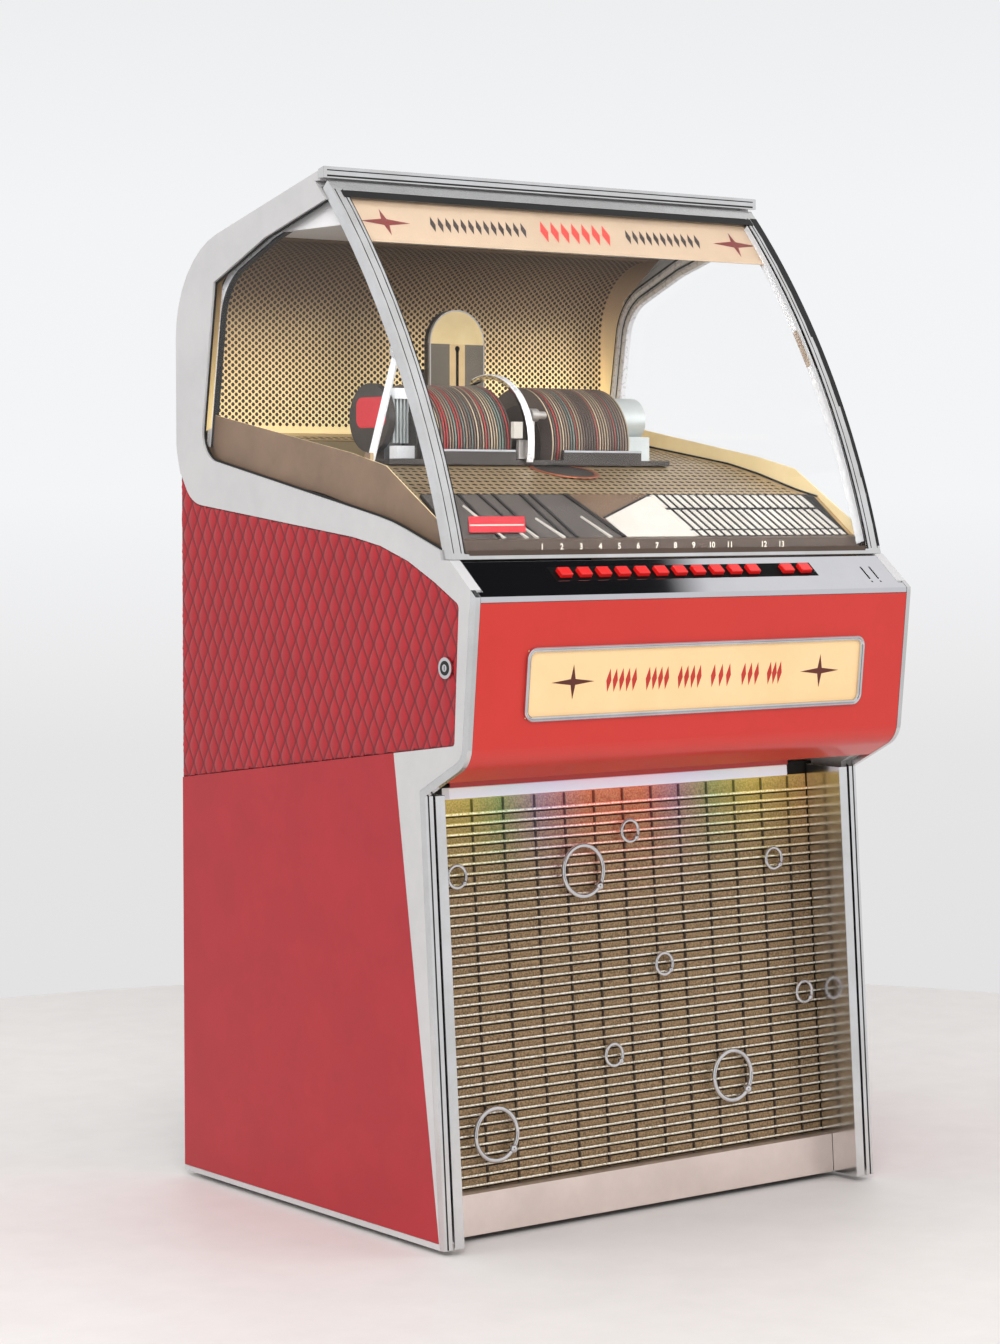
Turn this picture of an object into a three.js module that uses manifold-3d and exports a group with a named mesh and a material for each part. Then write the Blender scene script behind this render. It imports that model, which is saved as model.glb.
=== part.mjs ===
// A floor-standing vinyl jukebox: two shaped side boards carry a curved opening windscreen over
// the record mechanism, a sloped control plate with thirteen keys, a red front panel with a lit
// sign, and a leaning speaker grille between two polished legs.
// Millimetres. X runs to the right as seen from the front, Y to the back, Z up from the floor.
// Inside this file Y starts at the front corner of the foot, and the group moves to the middle.
// Outlines in the side view are lists of [y, z] or [y, z, corner radius], taken clockwise, so
// that the right-hand side of the path is always the inside.

import * as THREE from 'three';
import { mergeVertices } from 'three/addons/utils/BufferGeometryUtils.js';
import Module from 'manifold-3d';

const wasm = await Module();
wasm.setup();

// Driving dimensions.
const width = 830; // over the side boards
const boardThickness = 18;
const glideHeight = 8; // floor to the underside of the boards
const seat = 0.3; // gap between pieces that rest on each other
const running = 0.5; // gap beside pieces that move or slide into place
const overrun = 5; // how far a cutter runs past what it cuts

const leg = { topHeight: 642, setback: 46, channelWidth: 17, channelDepth: 75, sheet: 2.5 };
const bulge = { reach: 51, height: 692, radius: 40, undersideEnd: 5 };
const lip = { reach: 72, height: 915, rise: 8 };
const controlTop = { reach: 15, rise: 47, shelf: 24, sheet: 3 };
const screen = {
  footY: -12, footZ: 973, headY: 288, headZ: 1516, radius: 1315,
  depth: 18, rail: 24, topRail: 14, bottomRail: 8, setIn: 4,
};
const roof = { frontY: 286, frontZ: 1536, sheet: 4, trimDepth: 14, trimHeight: 17, overhang: 4 };
const roofPitch = THREE.MathUtils.degToRad(15);
const hood = { backY: 697, radius: 160, footZ: 1135, footRadius: 60, skirtZ: 1089 };
const bodyBackY = 684;
const edgeTrim = { depth: 12, bulgeWidth: 8, legWidth: 14 };
const windowSill = { frontZ: 986, bendY: 127, bendZ: 1025.7, bendRadius: 500 };
const windowBack = { lowY: 628.6, lowZ: 1121.5, lowRadius: 45, highY: 588, highZ: 1385 };
const windowTop = { bendY: 446, bendZ: 1444, frontDrop: 28 };
const pane = { thickness: 4, lap: 10, frontGap: 1, lip: 6, rebate: 24 };
const skin = { thickness: 2, bottomStrip: 8 };
const quilt = {
  backZ: 1095, hollowY: 655, hollowZ: 1050, hollowRadius: 60,
  bendY: 115.5, bendZ: 990.7, bendRadius: 550, frontY: -33, frontZ: 912, frontRadius: 10,
  frontStrip: 31, seamFrontRise: 79, seamBackDrop: 17, lowRadius: 6,
};
const legPanel = { topY: 121, bottomY: 14 };

const deck = {
  frontY: 26, frontDropZ: 972, frontZ: 997, bendY: 110, bendZ: 1059,
  rise: [[155, 1069], [250, 1096], [320, 1112]], backY: 640, backZ: 1160, sheet: 2, lipY: 300,
};
const liner = { sheet: 2, topZ: 1451, frontY: 500, radius: 120, flange: 2 };

const halfWidth = width / 2;
const innerHalf = halfWidth - boardThickness;
const betweenBoards = innerHalf - seat;

// Plain colours and finishes.
const paint = (color, roughness, metalness = 0) =>
  new THREE.MeshStandardMaterial({ color, roughness, metalness });
const whiteLaminate = paint(0xdcdcde, 0.45);
const redVinyl = paint(0xb02c34, 0.5);
const redPaint = paint(0xd8402f, 0.3);
const redPlastic = paint(0xe43a32, 0.25);
const polishedSteel = paint(0xd6d4d2, 0.15, 1);
const satinSteel = paint(0xc9c4be, 0.4, 1);
const chrome = paint(0xe6e6e8, 0.08, 1);
const creamPanel = paint(0xfadeaa, 0.5);
const goldPanel = paint(0xb79a62, 0.45, 0.6);
const grilleCloth = paint(0x8c7350, 0.6, 0.3);
const darkSteel = paint(0x3a3634, 0.4, 0.8);
const blackBoard = paint(0x1d1b1a, 0.8);
const blackPlastic = paint(0x141414, 0.5);
const opal = paint(0xf4f0e6, 0.4);
const vinylDisc = paint(0x4a3a36, 0.4);
const castAlloy = paint(0xa9abad, 0.35, 0.9);
const glass = new THREE.MeshStandardMaterial({
  color: 0xe8f0ee, roughness: 0.05, transparent: true, opacity: 0.25,
});

// Geometry helpers. Points closer than the weld are one point.
const weld = 1e-4;
function toSolid(geometry) {
  const plain = geometry.clone();
  plain.deleteAttribute('normal');
  plain.deleteAttribute('uv');
  const merged = mergeVertices(plain, weld);
  return new wasm.Manifold(new wasm.Mesh({
    numProp: 3,
    vertProperties: new Float32Array(merged.attributes.position.array),
    triVerts: new Uint32Array(merged.index.array),
  }));
}

function toGeometry(solid) {
  const mesh = solid.getMesh();
  const geometry = new THREE.BufferGeometry();
  geometry.setAttribute('position', new THREE.BufferAttribute(mesh.vertProperties, mesh.numProp));
  geometry.setIndex(new THREE.BufferAttribute(mesh.triVerts, 1));
  return geometry;
}

const joined = (first, ...others) => others.reduce((all, next) => all.add(next), first);
const cut = (body, ...tools) => tools.reduce((rest, tool) => rest.subtract(tool), body);

function prism(points, from, to, matrix) {
  const shape = new THREE.Shape(points.map(([u, v]) => new THREE.Vector2(u, v)));
  const geometry = new THREE.ExtrudeGeometry(shape, { depth: to - from, bevelEnabled: false });
  geometry.translate(0, 0, from);
  geometry.applyMatrix4(matrix);
  return toSolid(geometry);
}

const axisX = new THREE.Vector3(1, 0, 0);
const axisY = new THREE.Vector3(0, 1, 0);
const axisZ = new THREE.Vector3(0, 0, 1);
const sideView = new THREE.Matrix4().makeBasis(axisY, axisZ, axisX);
const frontView = new THREE.Matrix4().makeBasis(axisX, axisZ, axisY.clone().negate());
const planView = new THREE.Matrix4();

// A side-view outline of [y, z] points, extruded from x = from to x = to.
const slabX = (points, from, to) => prism(points, from, to, sideView);
// A front-view outline of [x, z] points, extruded from y = from to y = to.
const slabY = (points, from, to) => prism(points, -to, -from, frontView);
// A plan outline of [x, y] points, extruded from z = from to z = to.
const slabZ = (points, from, to) => prism(points, from, to, planView);

const rectangle = (u0, u1, v0, v1) => [[u0, v0], [u1, v0], [u1, v1], [u0, v1]];
const block = (x, y, z) => slabZ(rectangle(x[0], x[1], y[0], y[1]), z[0], z[1]);

// Rounds the corners that carry a radius. Arc steps turn through about ten degrees.
const arcStep = THREE.MathUtils.degToRad(10);
const fewestSteps = 2;
function rounded(corners, closed = true) {
  const points = [];
  corners.forEach((corner, index) => {
    const isEnd = !closed && (index === 0 || index === corners.length - 1);
    if (isEnd || !corner[2]) {
      points.push([corner[0], corner[1]]);
      return;
    }
    const before = corners[(index + corners.length - 1) % corners.length];
    const after = corners[(index + 1) % corners.length];
    const at = new THREE.Vector2(corner[0], corner[1]);
    const arriving = at.clone().sub(new THREE.Vector2(before[0], before[1])).normalize();
    const leaving = new THREE.Vector2(after[0], after[1]).sub(at).normalize();
    const turn = Math.atan2(arriving.cross(leaving), arriving.dot(leaving));
    const tangent = corner[2] * Math.tan(Math.abs(turn) / 2);
    const start = at.clone().addScaledVector(arriving, -tangent);
    const side = Math.sign(turn);
    const centre = start.clone().add(
      new THREE.Vector2(-arriving.y, arriving.x).multiplyScalar(side * corner[2]),
    );
    const steps = Math.max(fewestSteps, Math.ceil(Math.abs(turn) / arcStep));
    for (let step = 0; step <= steps; step += 1) {
      const spoke = start.clone().sub(centre).rotateAround(new THREE.Vector2(), (turn * step) / steps);
      points.push([centre.x + spoke.x, centre.y + spoke.y]);
    }
  });
  return points;
}

// Moves a path sideways: a positive distance goes to its right-hand side.
function shifted(points, distance, closed = false) {
  const count = points.length;
  const normalOf = (from, to) => {
    const length = Math.hypot(to[0] - from[0], to[1] - from[1]);
    return [(to[1] - from[1]) / length, -(to[0] - from[0]) / length];
  };
  return points.map((point, index) => {
    const hasBefore = closed || index > 0;
    const hasAfter = closed || index < count - 1;
    const before = hasBefore ? normalOf(points[(index + count - 1) % count], point) : null;
    const after = hasAfter ? normalOf(point, points[(index + 1) % count]) : null;
    const one = before ?? after;
    const two = after ?? before;
    const shrink = 1 + one[0] * two[0] + one[1] * two[1];
    return [
      point[0] + (distance * (one[0] + two[0])) / shrink,
      point[1] + (distance * (one[1] + two[1])) / shrink,
    ];
  });
}

// The closed section of a sheet that follows a path and lies inside it.
const sheetAlong = (path, thickness, from = 0) => [
  ...shifted(path, from),
  ...shifted(path, from + thickness).reverse(),
];

const roundSides = 32;
const cylinderX = (radius, from, to, y, z, sides = roundSides) => {
  const geometry = new THREE.CylinderGeometry(radius, radius, to - from, sides);
  geometry.rotateZ(Math.PI / 2);
  geometry.translate((from + to) / 2, y, z);
  return toSolid(geometry);
};
const cylinderY = (radius, from, to, x, z, sides = roundSides) => {
  const geometry = new THREE.CylinderGeometry(radius, radius, to - from, sides);
  geometry.translate(x, (from + to) / 2, z);
  return toSolid(geometry);
};
const cylinderZ = (radius, from, to, x, y, sides = roundSides) => {
  const geometry = new THREE.CylinderGeometry(radius, radius, to - from, sides);
  geometry.rotateX(Math.PI / 2);
  geometry.translate(x, y, (from + to) / 2);
  return toSolid(geometry);
};
// A profile of [radius, height] points turned about an axis that points along Y.
const latheY = (profile, x, y, z, sides = roundSides) => {
  const geometry = new THREE.LatheGeometry(profile.map(([r, h]) => new THREE.Vector2(r, h)), sides);
  geometry.translate(x, y, z);
  return toSolid(geometry);
};

const jukebox = new THREE.Group();
jukebox.position.y = (lip.reach - hood.backY) / 2;

function place(name, solid, material, parent = jukebox) {
  const mesh = new THREE.Mesh(toGeometry(solid), material);
  mesh.name = name;
  parent.add(mesh);
  return mesh;
}

const sides = [{ name: 'left', sign: -1 }, { name: 'right', sign: 1 }];
const mirrored = (solid, sign) => (sign < 0 ? solid.mirror([1, 0, 0]) : solid);

// The side outline. The front line runs up the leg, under the bulge and up to the lip.
const frontLine = rounded([
  [0, glideHeight],
  [leg.setback, leg.topHeight],
  [-bulge.reach, bulge.height, bulge.radius],
  [-lip.reach, lip.height],
], false);
const lipTop = lip.height + lip.rise;
const shelfZ = lipTop + controlTop.rise;
const slope = Math.atan2(controlTop.rise, lip.reach - controlTop.reach);
const slopeZ = (y) => lipTop + (y + lip.reach) * Math.tan(slope);
const roofZ = (y) => roof.frontZ - (y - roof.frontY) * Math.tan(roofPitch);

// The windscreen is part of a circle through its foot and its head.
const chord = new THREE.Vector2(screen.headY - screen.footY, screen.headZ - screen.footZ);
const sagitta = Math.sqrt(screen.radius ** 2 - (chord.length() / 2) ** 2);
const screenCentre = {
  y: (screen.footY + screen.headY) / 2 + (chord.y / chord.length()) * sagitta,
  z: (screen.footZ + screen.headZ) / 2 - (chord.x / chord.length()) * sagitta,
};
const screenY = (z, inset) => {
  const radius = screen.radius - inset;
  return screenCentre.y - Math.sqrt(radius ** 2 - (z - screenCentre.z) ** 2);
};
const screenSteps = 12;
const shortArcSteps = 3;
const screenArc = (inset, fromZ, toZ, steps = screenSteps) =>
  Array.from({ length: steps + 1 }, (_, step) => {
    const z = fromZ + ((toZ - fromZ) * step) / steps;
    return [screenY(z, inset), z];
  });
const screenBand = (front, depth, fromZ, toZ, backToZ = toZ) => [
  ...screenArc(front, fromZ, toZ),
  ...screenArc(front + depth, fromZ, backToZ).reverse(),
];
// The frame's head is cut square to its curve, so that it can swing under the roof trim.
const headBackZ = screen.headZ
  - ((screen.headZ - screenCentre.z) * screen.depth) / screen.radius;

// Side boards, with the window mouth open to the front and pockets for the red panels.
const mouthInset = screen.depth + running;
const windowFrontZ = screen.headZ - windowTop.frontDrop;
const sillStart = [screenY(windowSill.frontZ, mouthInset), windowSill.frontZ];
const windowEdge = [
  sillStart,
  [windowSill.bendY, windowSill.bendZ, windowSill.bendRadius],
  [windowBack.lowY, windowBack.lowZ, windowBack.lowRadius],
  [windowBack.highY, windowBack.highZ],
  [windowTop.bendY, windowTop.bendZ],
  [screenY(windowFrontZ, mouthInset), windowFrontZ],
];
const trimBackY = roof.frontY + roof.trimDepth;
const frameTopGap = screen.headZ + running;
const hoodLine = rounded([
  [trimBackY, roofZ(trimBackY)],
  [hood.backY, roofZ(hood.backY), hood.radius],
  [hood.backY, hood.footZ, hood.footRadius],
  [bodyBackY, hood.skirtZ],
], false);
const boardFront = shifted(frontLine, edgeTrim.depth);
const boardFrontTopY = boardFront[boardFront.length - 1][0];
const restZ = screen.footZ - running;
const boardOutline = [
  ...boardFront.slice(0, -1),
  [boardFrontTopY, slopeZ(boardFrontTopY)],
  [-controlTop.reach, shelfZ],
  [screen.footY, restZ],
  [screenY(restZ, mouthInset), restZ],
  ...rounded(windowEdge, false),
  ...screenArc(mouthInset, windowFrontZ, frameTopGap, shortArcSteps).slice(1),
  [trimBackY + seat, frameTopGap],
  [trimBackY + seat, roofZ(trimBackY + seat)],
  ...hoodLine.slice(1),
  [bodyBackY, glideHeight],
];

const frontLineAt = (z) => -lip.reach
  + ((lip.height - z) * (lip.reach - bulge.reach)) / (lip.height - bulge.height);
const seamFrontZ = leg.topHeight + quilt.seamFrontRise;
const seamSlope = (quilt.seamFrontRise + quilt.seamBackDrop) / (bodyBackY + bulge.reach);
const seamZ = (y) => seamFrontZ - (y + bulge.reach) * seamSlope;
const quiltLowY = frontLineAt(seamFrontZ) + quilt.frontStrip;
const quiltOutline = (backY) => rounded([
  [quiltLowY, seamZ(quiltLowY), quilt.lowRadius],
  [quilt.frontY, quilt.frontZ, quilt.frontRadius],
  [quilt.bendY, quilt.bendZ, quilt.bendRadius],
  [quilt.hollowY, quilt.hollowZ, quilt.hollowRadius],
  [bodyBackY, quilt.backZ],
  ...(backY > bodyBackY ? [[backY, quilt.backZ]] : []),
  [backY, seamZ(backY)],
]);
const skirtZ = glideHeight + skin.bottomStrip;
const lowerOutline = (backY) => [
  [legPanel.bottomY, skirtZ],
  [legPanel.topY, seamZ(legPanel.topY) - seat],
  [backY, seamZ(backY) - seat],
  [backY, skirtZ],
];

const lock = {
  y: -5, belowLip: 91, barrel: 11, bezel: 15, bezelHeight: 3, length: 28,
  keyHalf: 1.2, keyHeight: 5, keyDepth: 4,
};
const lockZ = lip.height - lock.belowLip;
const pocketFloor = halfWidth - skin.thickness - seat;
const pocketBack = bodyBackY + overrun;
const lockHole = cylinderX(
  lock.barrel + running, innerHalf - overrun, halfWidth + overrun, lock.y, lockZ,
);

// A rebate behind the window's lip takes the pane, no deeper than the rear liner.
const linerBackY = deck.backY + liner.sheet;
const rebateEdge = shifted(rounded(windowEdge, false), pane.rebate)
  .map(([y, z]) => [Math.min(y, linerBackY), z]);
const rebateStart = rebateEdge[0];
const rebateEnd = rebateEdge[rebateEdge.length - 1];
const rebateOutline = [
  ...rebateEdge,
  [rebateEnd[0] - screen.rail, rebateEnd[1]],
  [rebateStart[0] - screen.rail, rebateStart[1]],
];

for (const { name, sign } of sides) {
  let board = slabX(boardOutline, innerHalf, halfWidth);
  board = cut(
    board,
    slabX(rebateOutline, innerHalf - overrun, halfWidth - pane.lip),
    slabX(shifted(quiltOutline(pocketBack), -seat, true), pocketFloor, halfWidth + overrun),
    slabX(shifted(lowerOutline(pocketBack), -seat, true), pocketFloor, halfWidth + overrun),
  );
  let quiltPanel = slabX(quiltOutline(bodyBackY), halfWidth - skin.thickness, halfWidth);
  if (sign < 0) {
    board = cut(board, lockHole);
    quiltPanel = cut(quiltPanel, lockHole);
  }
  const lowerPanel = slabX(lowerOutline(bodyBackY), halfWidth - skin.thickness, halfWidth);
  place(`side_board_${name}`, mirrored(board, sign), whiteLaminate);
  place(`quilt_panel_${name}`, mirrored(quiltPanel, sign), redVinyl);
  place(`lower_panel_${name}`, mirrored(lowerPanel, sign), redVinyl);
}

// The side lock turns in the left board.
const bezelBack = halfWidth + seat;
const bezelFace = bezelBack + lock.bezelHeight;
place('side_lock', mirrored(cut(
  joined(
    cylinderX(lock.bezel, bezelBack, bezelFace, lock.y, lockZ),
    cylinderX(lock.barrel, bezelBack - lock.length, bezelFace - lock.keyHalf, lock.y, lockZ),
  ),
  block(
    [bezelFace - lock.keyDepth, bezelFace + overrun],
    [lock.y - lock.keyHalf, lock.y + lock.keyHalf],
    [lockZ - lock.keyHeight, lockZ + lock.keyHeight],
  ),
), -1), chrome);

// Polished edge strips on the front edges of the boards, and the leg channels inside them.
const legLine = frontLine.slice(0, 2);
const stripDepth = edgeTrim.depth - seat;
const stripTop = [-lip.reach, lipTop];
const bulgeStrip = [
  ...frontLine,
  stripTop,
  [stripTop[0] + stripDepth, slopeZ(stripTop[0] + stripDepth)],
  ...shifted(frontLine, stripDepth).reverse().slice(1),
];
const legBand = (from, depth, lowZ = glideHeight, highZ = leg.topHeight) => {
  const lean = leg.setback / (leg.topHeight - glideHeight);
  const lineY = (z) => (z - glideHeight) * lean;
  return [
    [lineY(lowZ) + from, lowZ],
    [lineY(highZ) + from, highZ],
    [lineY(highZ) + from + depth, highZ],
    [lineY(lowZ) + from + depth, lowZ],
  ];
};
const channelOuter = innerHalf - seat;
const channelInner = innerHalf - leg.channelWidth;
for (const { name, sign } of sides) {
  const strip = joined(
    slabX(bulgeStrip, halfWidth - edgeTrim.bulgeWidth, halfWidth),
    slabX(legBand(0, stripDepth), halfWidth - edgeTrim.legWidth, halfWidth),
  );
  place(`edge_trim_${name}`, mirrored(strip, sign), polishedSteel);
  const channel = joined(
    slabX(legBand(0, leg.sheet), channelInner, channelOuter),
    slabX(legBand(0, leg.channelDepth - running), channelInner, channelInner + leg.sheet),
    slabX(legBand(leg.channelDepth - running - leg.sheet, leg.sheet), channelInner, channelOuter),
  );
  place(`leg_channel_${name}`, mirrored(channel, sign), polishedSteel);
}

// Kick plate: a leaning front face with a flange back towards the grille.
const kick = { setback: 52, height: 59, sheet: 2 };
const betweenLegs = channelInner - running;
const kickTop = glideHeight + kick.height;
place('kick_plate', joined(
  slabX(legBand(kick.setback, kick.sheet, glideHeight, kickTop), -betweenLegs, betweenLegs),
  slabX(
    legBand(kick.setback, leg.channelDepth - kick.setback, kickTop - kick.sheet, kickTop),
    -betweenLegs, betweenLegs,
  ),
), satinSteel);

// Everything behind the leg opening leans with the legs, in a frame of its own.
const leaning = new THREE.Group();
leaning.position.z = glideHeight;
leaning.rotation.x = -Math.atan2(leg.setback, leg.topHeight - glideHeight);
jukebox.add(leaning);

const grille = { bottom: 61, top: 626, depth: 4, rodPitch: 14.4, rodHeight: 2.8, rodDepth: 2 };
const grilleFront = leg.channelDepth;
const rodCount = Math.floor((grille.top - grille.bottom) / grille.rodPitch) - 1;
const rodStart = grille.bottom + grille.rodPitch - grille.rodHeight / 2;
const rodded = [];
for (let rod = 0; rod < rodCount; rod += 1) {
  const z = rodStart + rod * grille.rodPitch;
  rodded.push([grilleFront, z], [grilleFront - grille.rodDepth, z]);
  rodded.push([grilleFront - grille.rodDepth, z + grille.rodHeight], [grilleFront, z + grille.rodHeight]);
}
const grilleOutline = [
  [grilleFront, grille.bottom],
  ...rodded,
  [grilleFront, grille.top],
  [grilleFront + grille.depth, grille.top],
  [grilleFront + grille.depth, grille.bottom],
];

// Chrome rings stand off the grille on a short stem, each with a bead at its lower right.
const ringSize = {
  large: { radius: 37.5, wire: 3.5, bead: 7, standOff: 7 },
  small: { radius: 16, wire: 2.6, bead: 4.5, standOff: 7 },
};
const beadAngle = THREE.MathUtils.degToRad(-40);
const [ringSteps, wireSides] = [20, 6];
function ring({ radius, wire, bead, standOff }, x, z, back) {
  const torus = new THREE.TorusGeometry(radius, wire, wireSides, ringSteps);
  torus.rotateX(Math.PI / 2);
  torus.translate(x, back - standOff, z);
  const beadX = x + radius * Math.cos(beadAngle);
  const beadZ = z + radius * Math.sin(beadAngle);
  const ball = new THREE.SphereGeometry(bead, ringSteps / 2, wireSides);
  ball.translate(beadX, back - standOff, beadZ);
  const stem = cylinderY(bead / 2, back - standOff, back, beadX, beadZ, wireSides);
  return joined(toSolid(torus), toSolid(ball), stem);
}
const rodFace = grilleFront - grille.rodDepth;
// Places of the rings, as shares of the grille's half width and of its height.
const largeRingShares = {
  ring_upper: [-0.2217, 0.7894],
  ring_lower_left: [-0.7022, 0.1398],
  ring_lower_right: [0.5042, 0.2],
};
const smallRingShares = [
  [0.0264, 0.8832], [0.784, 0.7752], [0.1742, 0.5221],
  [0.9213, 0.4], [-0.103, 0.2991], [-0.8316, 0.8035],
];
const onGrille = ([acrossShare, upShare]) => [
  acrossShare * betweenLegs, grille.bottom + upShare * (grille.top - grille.bottom),
];
place('grille_panel', joined(
  slabX(grilleOutline, -betweenLegs, betweenLegs),
  ...smallRingShares.map((shares) => ring(ringSize.small, ...onGrille(shares), grilleFront)),
), grilleCloth, leaning);
for (const [name, shares] of Object.entries(largeRingShares)) {
  place(name, ring(ringSize.large, ...onGrille(shares), rodFace - seat), chrome, leaning);
}

// Light bar along the top of the grille.
const lightBar = { endGap: 52, height: 16, depth: 18 };
const lightBarHalf = betweenLegs - lightBar.endGap;
const lightBarBase = grille.top + seat;
place('light_bar', block(
  [-lightBarHalf, lightBarHalf],
  [grilleFront + grille.depth - lightBar.depth, grilleFront + grille.depth],
  [lightBarBase, lightBarBase + lightBar.height],
), opal, leaning);

// Speaker baffle with two woofers and two horn mouths.
const baffle = { depth: 15, bottom: 44, top: 646, endGap: 17.85 };
const woofer = {
  z: 330, radius: 150, cutout: 140, depth: 110, magnet: 60, magnetDepth: 45,
  paper: 3, dustCap: 38, capRise: 5.5,
};
const horn = { z: 560, halfWidth: 70, halfHeight: 28 };
const driverX = betweenBoards / 2 - running - baffle.endGap;
const baffleFront = grilleFront + grille.depth + seat;
const baffleBack = baffleFront + baffle.depth;
let baffleSolid = slabY(
  rectangle(-betweenBoards, betweenBoards, baffle.bottom, baffle.top), baffleFront, baffleBack,
);
for (const { sign } of sides) {
  baffleSolid = cut(
    baffleSolid,
    cylinderY(woofer.cutout, baffleFront - overrun, baffleBack + overrun, sign * driverX, woofer.z),
    slabY(
      rectangle(
        sign * driverX - horn.halfWidth, sign * driverX + horn.halfWidth,
        horn.z - horn.halfHeight, horn.z + horn.halfHeight,
      ),
      baffleFront - overrun, baffleBack + overrun,
    ),
  );
}
place('speaker_baffle', baffleSolid, blackBoard, leaning);
const wooferBack = baffleBack + seat;
const wooferProfile = [
  [0, woofer.depth / 2 - woofer.capRise],
  [woofer.dustCap, woofer.depth / 2],
  [woofer.cutout - woofer.paper, 0],
  [woofer.radius, 0],
  [woofer.radius, woofer.paper],
  [woofer.cutout, woofer.paper + woofer.paper],
  [woofer.magnet, woofer.depth - woofer.magnetDepth],
  [woofer.magnet, woofer.depth],
  [0, woofer.depth],
];
for (const { name, sign } of sides) {
  const driver = latheY(wooferProfile, sign * driverX, wooferBack, woofer.z);
  place(`woofer_${name}`, driver, blackPlastic, leaning);
}

// Red front shell, with the sign set in a chrome bezel. Its face leans by the bulge's setback.
const shell = { sheet: 3 };
const betweenStrips = halfWidth - edgeTrim.bulgeWidth - running;
const undersideSlope = (bulge.height - leg.topHeight) / (bulge.reach + leg.setback);
const undersideZ = (y) => leg.topHeight + (leg.setback - y) * undersideSlope;
const shellPath = rounded([
  [bulge.undersideEnd, undersideZ(bulge.undersideEnd)],
  [-bulge.reach, bulge.height, bulge.radius],
  [-lip.reach, lip.height - seat],
], false);
const sign = {
  centreZ: 800, edgeGap: 84.5, halfHeight: 52, rim: 7, radius: 16, bezelDepth: 5, panel: 3,
};
const signHalf = betweenStrips - sign.edgeGap;
const signFace = new THREE.Group();
signFace.position.set(0, frontLineAt(sign.centreZ), sign.centreZ);
signFace.rotation.x = Math.atan2(lip.reach - bulge.reach, lip.height - bulge.height);
jukebox.add(signFace);
const roundedFrame = (halfW, halfH, radius) => rounded([
  [-halfW, -halfH, radius], [-halfW, halfH, radius], [halfW, halfH, radius], [halfW, -halfH, radius],
]);
const holeHalfWidth = signHalf - sign.rim / 2;
const holeHalfHeight = sign.halfHeight - sign.rim / 2;
const shellCut = slabY(
  rectangle(
    -holeHalfWidth, holeHalfWidth,
    sign.centreZ - holeHalfHeight, sign.centreZ + holeHalfHeight,
  ),
  -lip.reach - overrun, 0,
);
place('front_shell', cut(
  slabX(sheetAlong(shellPath, shell.sheet), -betweenStrips, betweenStrips), shellCut,
), redPaint);
place('sign_bezel', cut(
  slabY(roundedFrame(signHalf, sign.halfHeight, sign.radius), -sign.bezelDepth - seat, -seat),
  slabY(
    roundedFrame(signHalf - sign.rim, sign.halfHeight - sign.rim, sign.radius - sign.rim),
    -sign.bezelDepth - overrun, overrun,
  ),
), chrome, signFace);
place('sign_panel', slabY(
  rectangle(
    seat - holeHalfWidth, holeHalfWidth - seat,
    running - holeHalfHeight, holeHalfHeight - running,
  ),
  0, sign.panel,
), creamPanel, signFace);

// Control plate: lip, slope and shelf in one folded sheet, with holes for keys and coins.
const key = {
  count: 11, extra: 2, firstX: -234, pitch: 35.5, extraX: 189, width: 24, depth: 16,
  height: 8, along: 45, flange: 1.5, flangeDepth: 2, travel: 3, clearance: 0.4,
};
const coin = {
  fromEdge: 43, along: 35, pitch: 18, halfLength: 14, halfSlot: 1.7, button: 3, buttonAlong: 15,
};
const coinX = innerHalf - coin.fromEdge;
const onSlope = new THREE.Group();
onSlope.position.set(0, -lip.reach, lipTop);
onSlope.rotation.x = slope;
jukebox.add(onSlope);
const slopeMatrix = new THREE.Matrix4().makeRotationX(slope).setPosition(0, -lip.reach, lipTop);
const slopeCutter = (x, along, halfX, halfY) => prism(
  rectangle(x - halfX, x + halfX, along - halfY, along + halfY),
  -controlTop.sheet - overrun, overrun, slopeMatrix,
);
const keyX = [
  ...Array.from({ length: key.count }, (_, index) => key.firstX + index * key.pitch),
  ...Array.from({ length: key.extra }, (_, index) => key.extraX + index * key.pitch),
];
const platePath = [
  [-lip.reach, lip.height + seat],
  [-lip.reach, lipTop],
  [-controlTop.reach, shelfZ],
  [controlTop.shelf - controlTop.reach, shelfZ],
];
const noseEndY = boardFrontTopY - running - controlTop.sheet;
const nosePath = [platePath[0], platePath[1], [noseEndY, slopeZ(noseEndY)]];
place('control_plate', cut(
  joined(
    slabX(sheetAlong(platePath, controlTop.sheet), -betweenBoards, betweenBoards),
    slabX(sheetAlong(nosePath, controlTop.sheet), -betweenStrips, betweenStrips),
  ),
  ...keyX.map((x) => slopeCutter(
    x, key.along, key.width / 2 + key.clearance, key.depth / 2 + key.clearance,
  )),
  ...[-coin.pitch / 2, coin.pitch / 2].flatMap((offset) => [
    slopeCutter(coinX + offset, coin.along, coin.halfSlot, coin.halfLength),
    slopeCutter(coinX + offset, coin.buttonAlong, coin.button / 2, coin.button / 2),
  ]),
), polishedSteel);
keyX.forEach((x, index) => {
  const under = -controlTop.sheet - seat;
  const cap = block(
    [x - key.width / 2, x + key.width / 2],
    [key.along - key.depth / 2, key.along + key.depth / 2],
    [under, key.height],
  );
  const flange = block(
    [x - key.width / 2 - key.flange, x + key.width / 2 + key.flange],
    [key.along - key.depth / 2 - key.flange, key.along + key.depth / 2 + key.flange],
    [under - key.flangeDepth, under],
  );
  place(`key_${String(index + 1).padStart(2, '0')}`, joined(cap, flange), redPlastic, onSlope);
});

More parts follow.
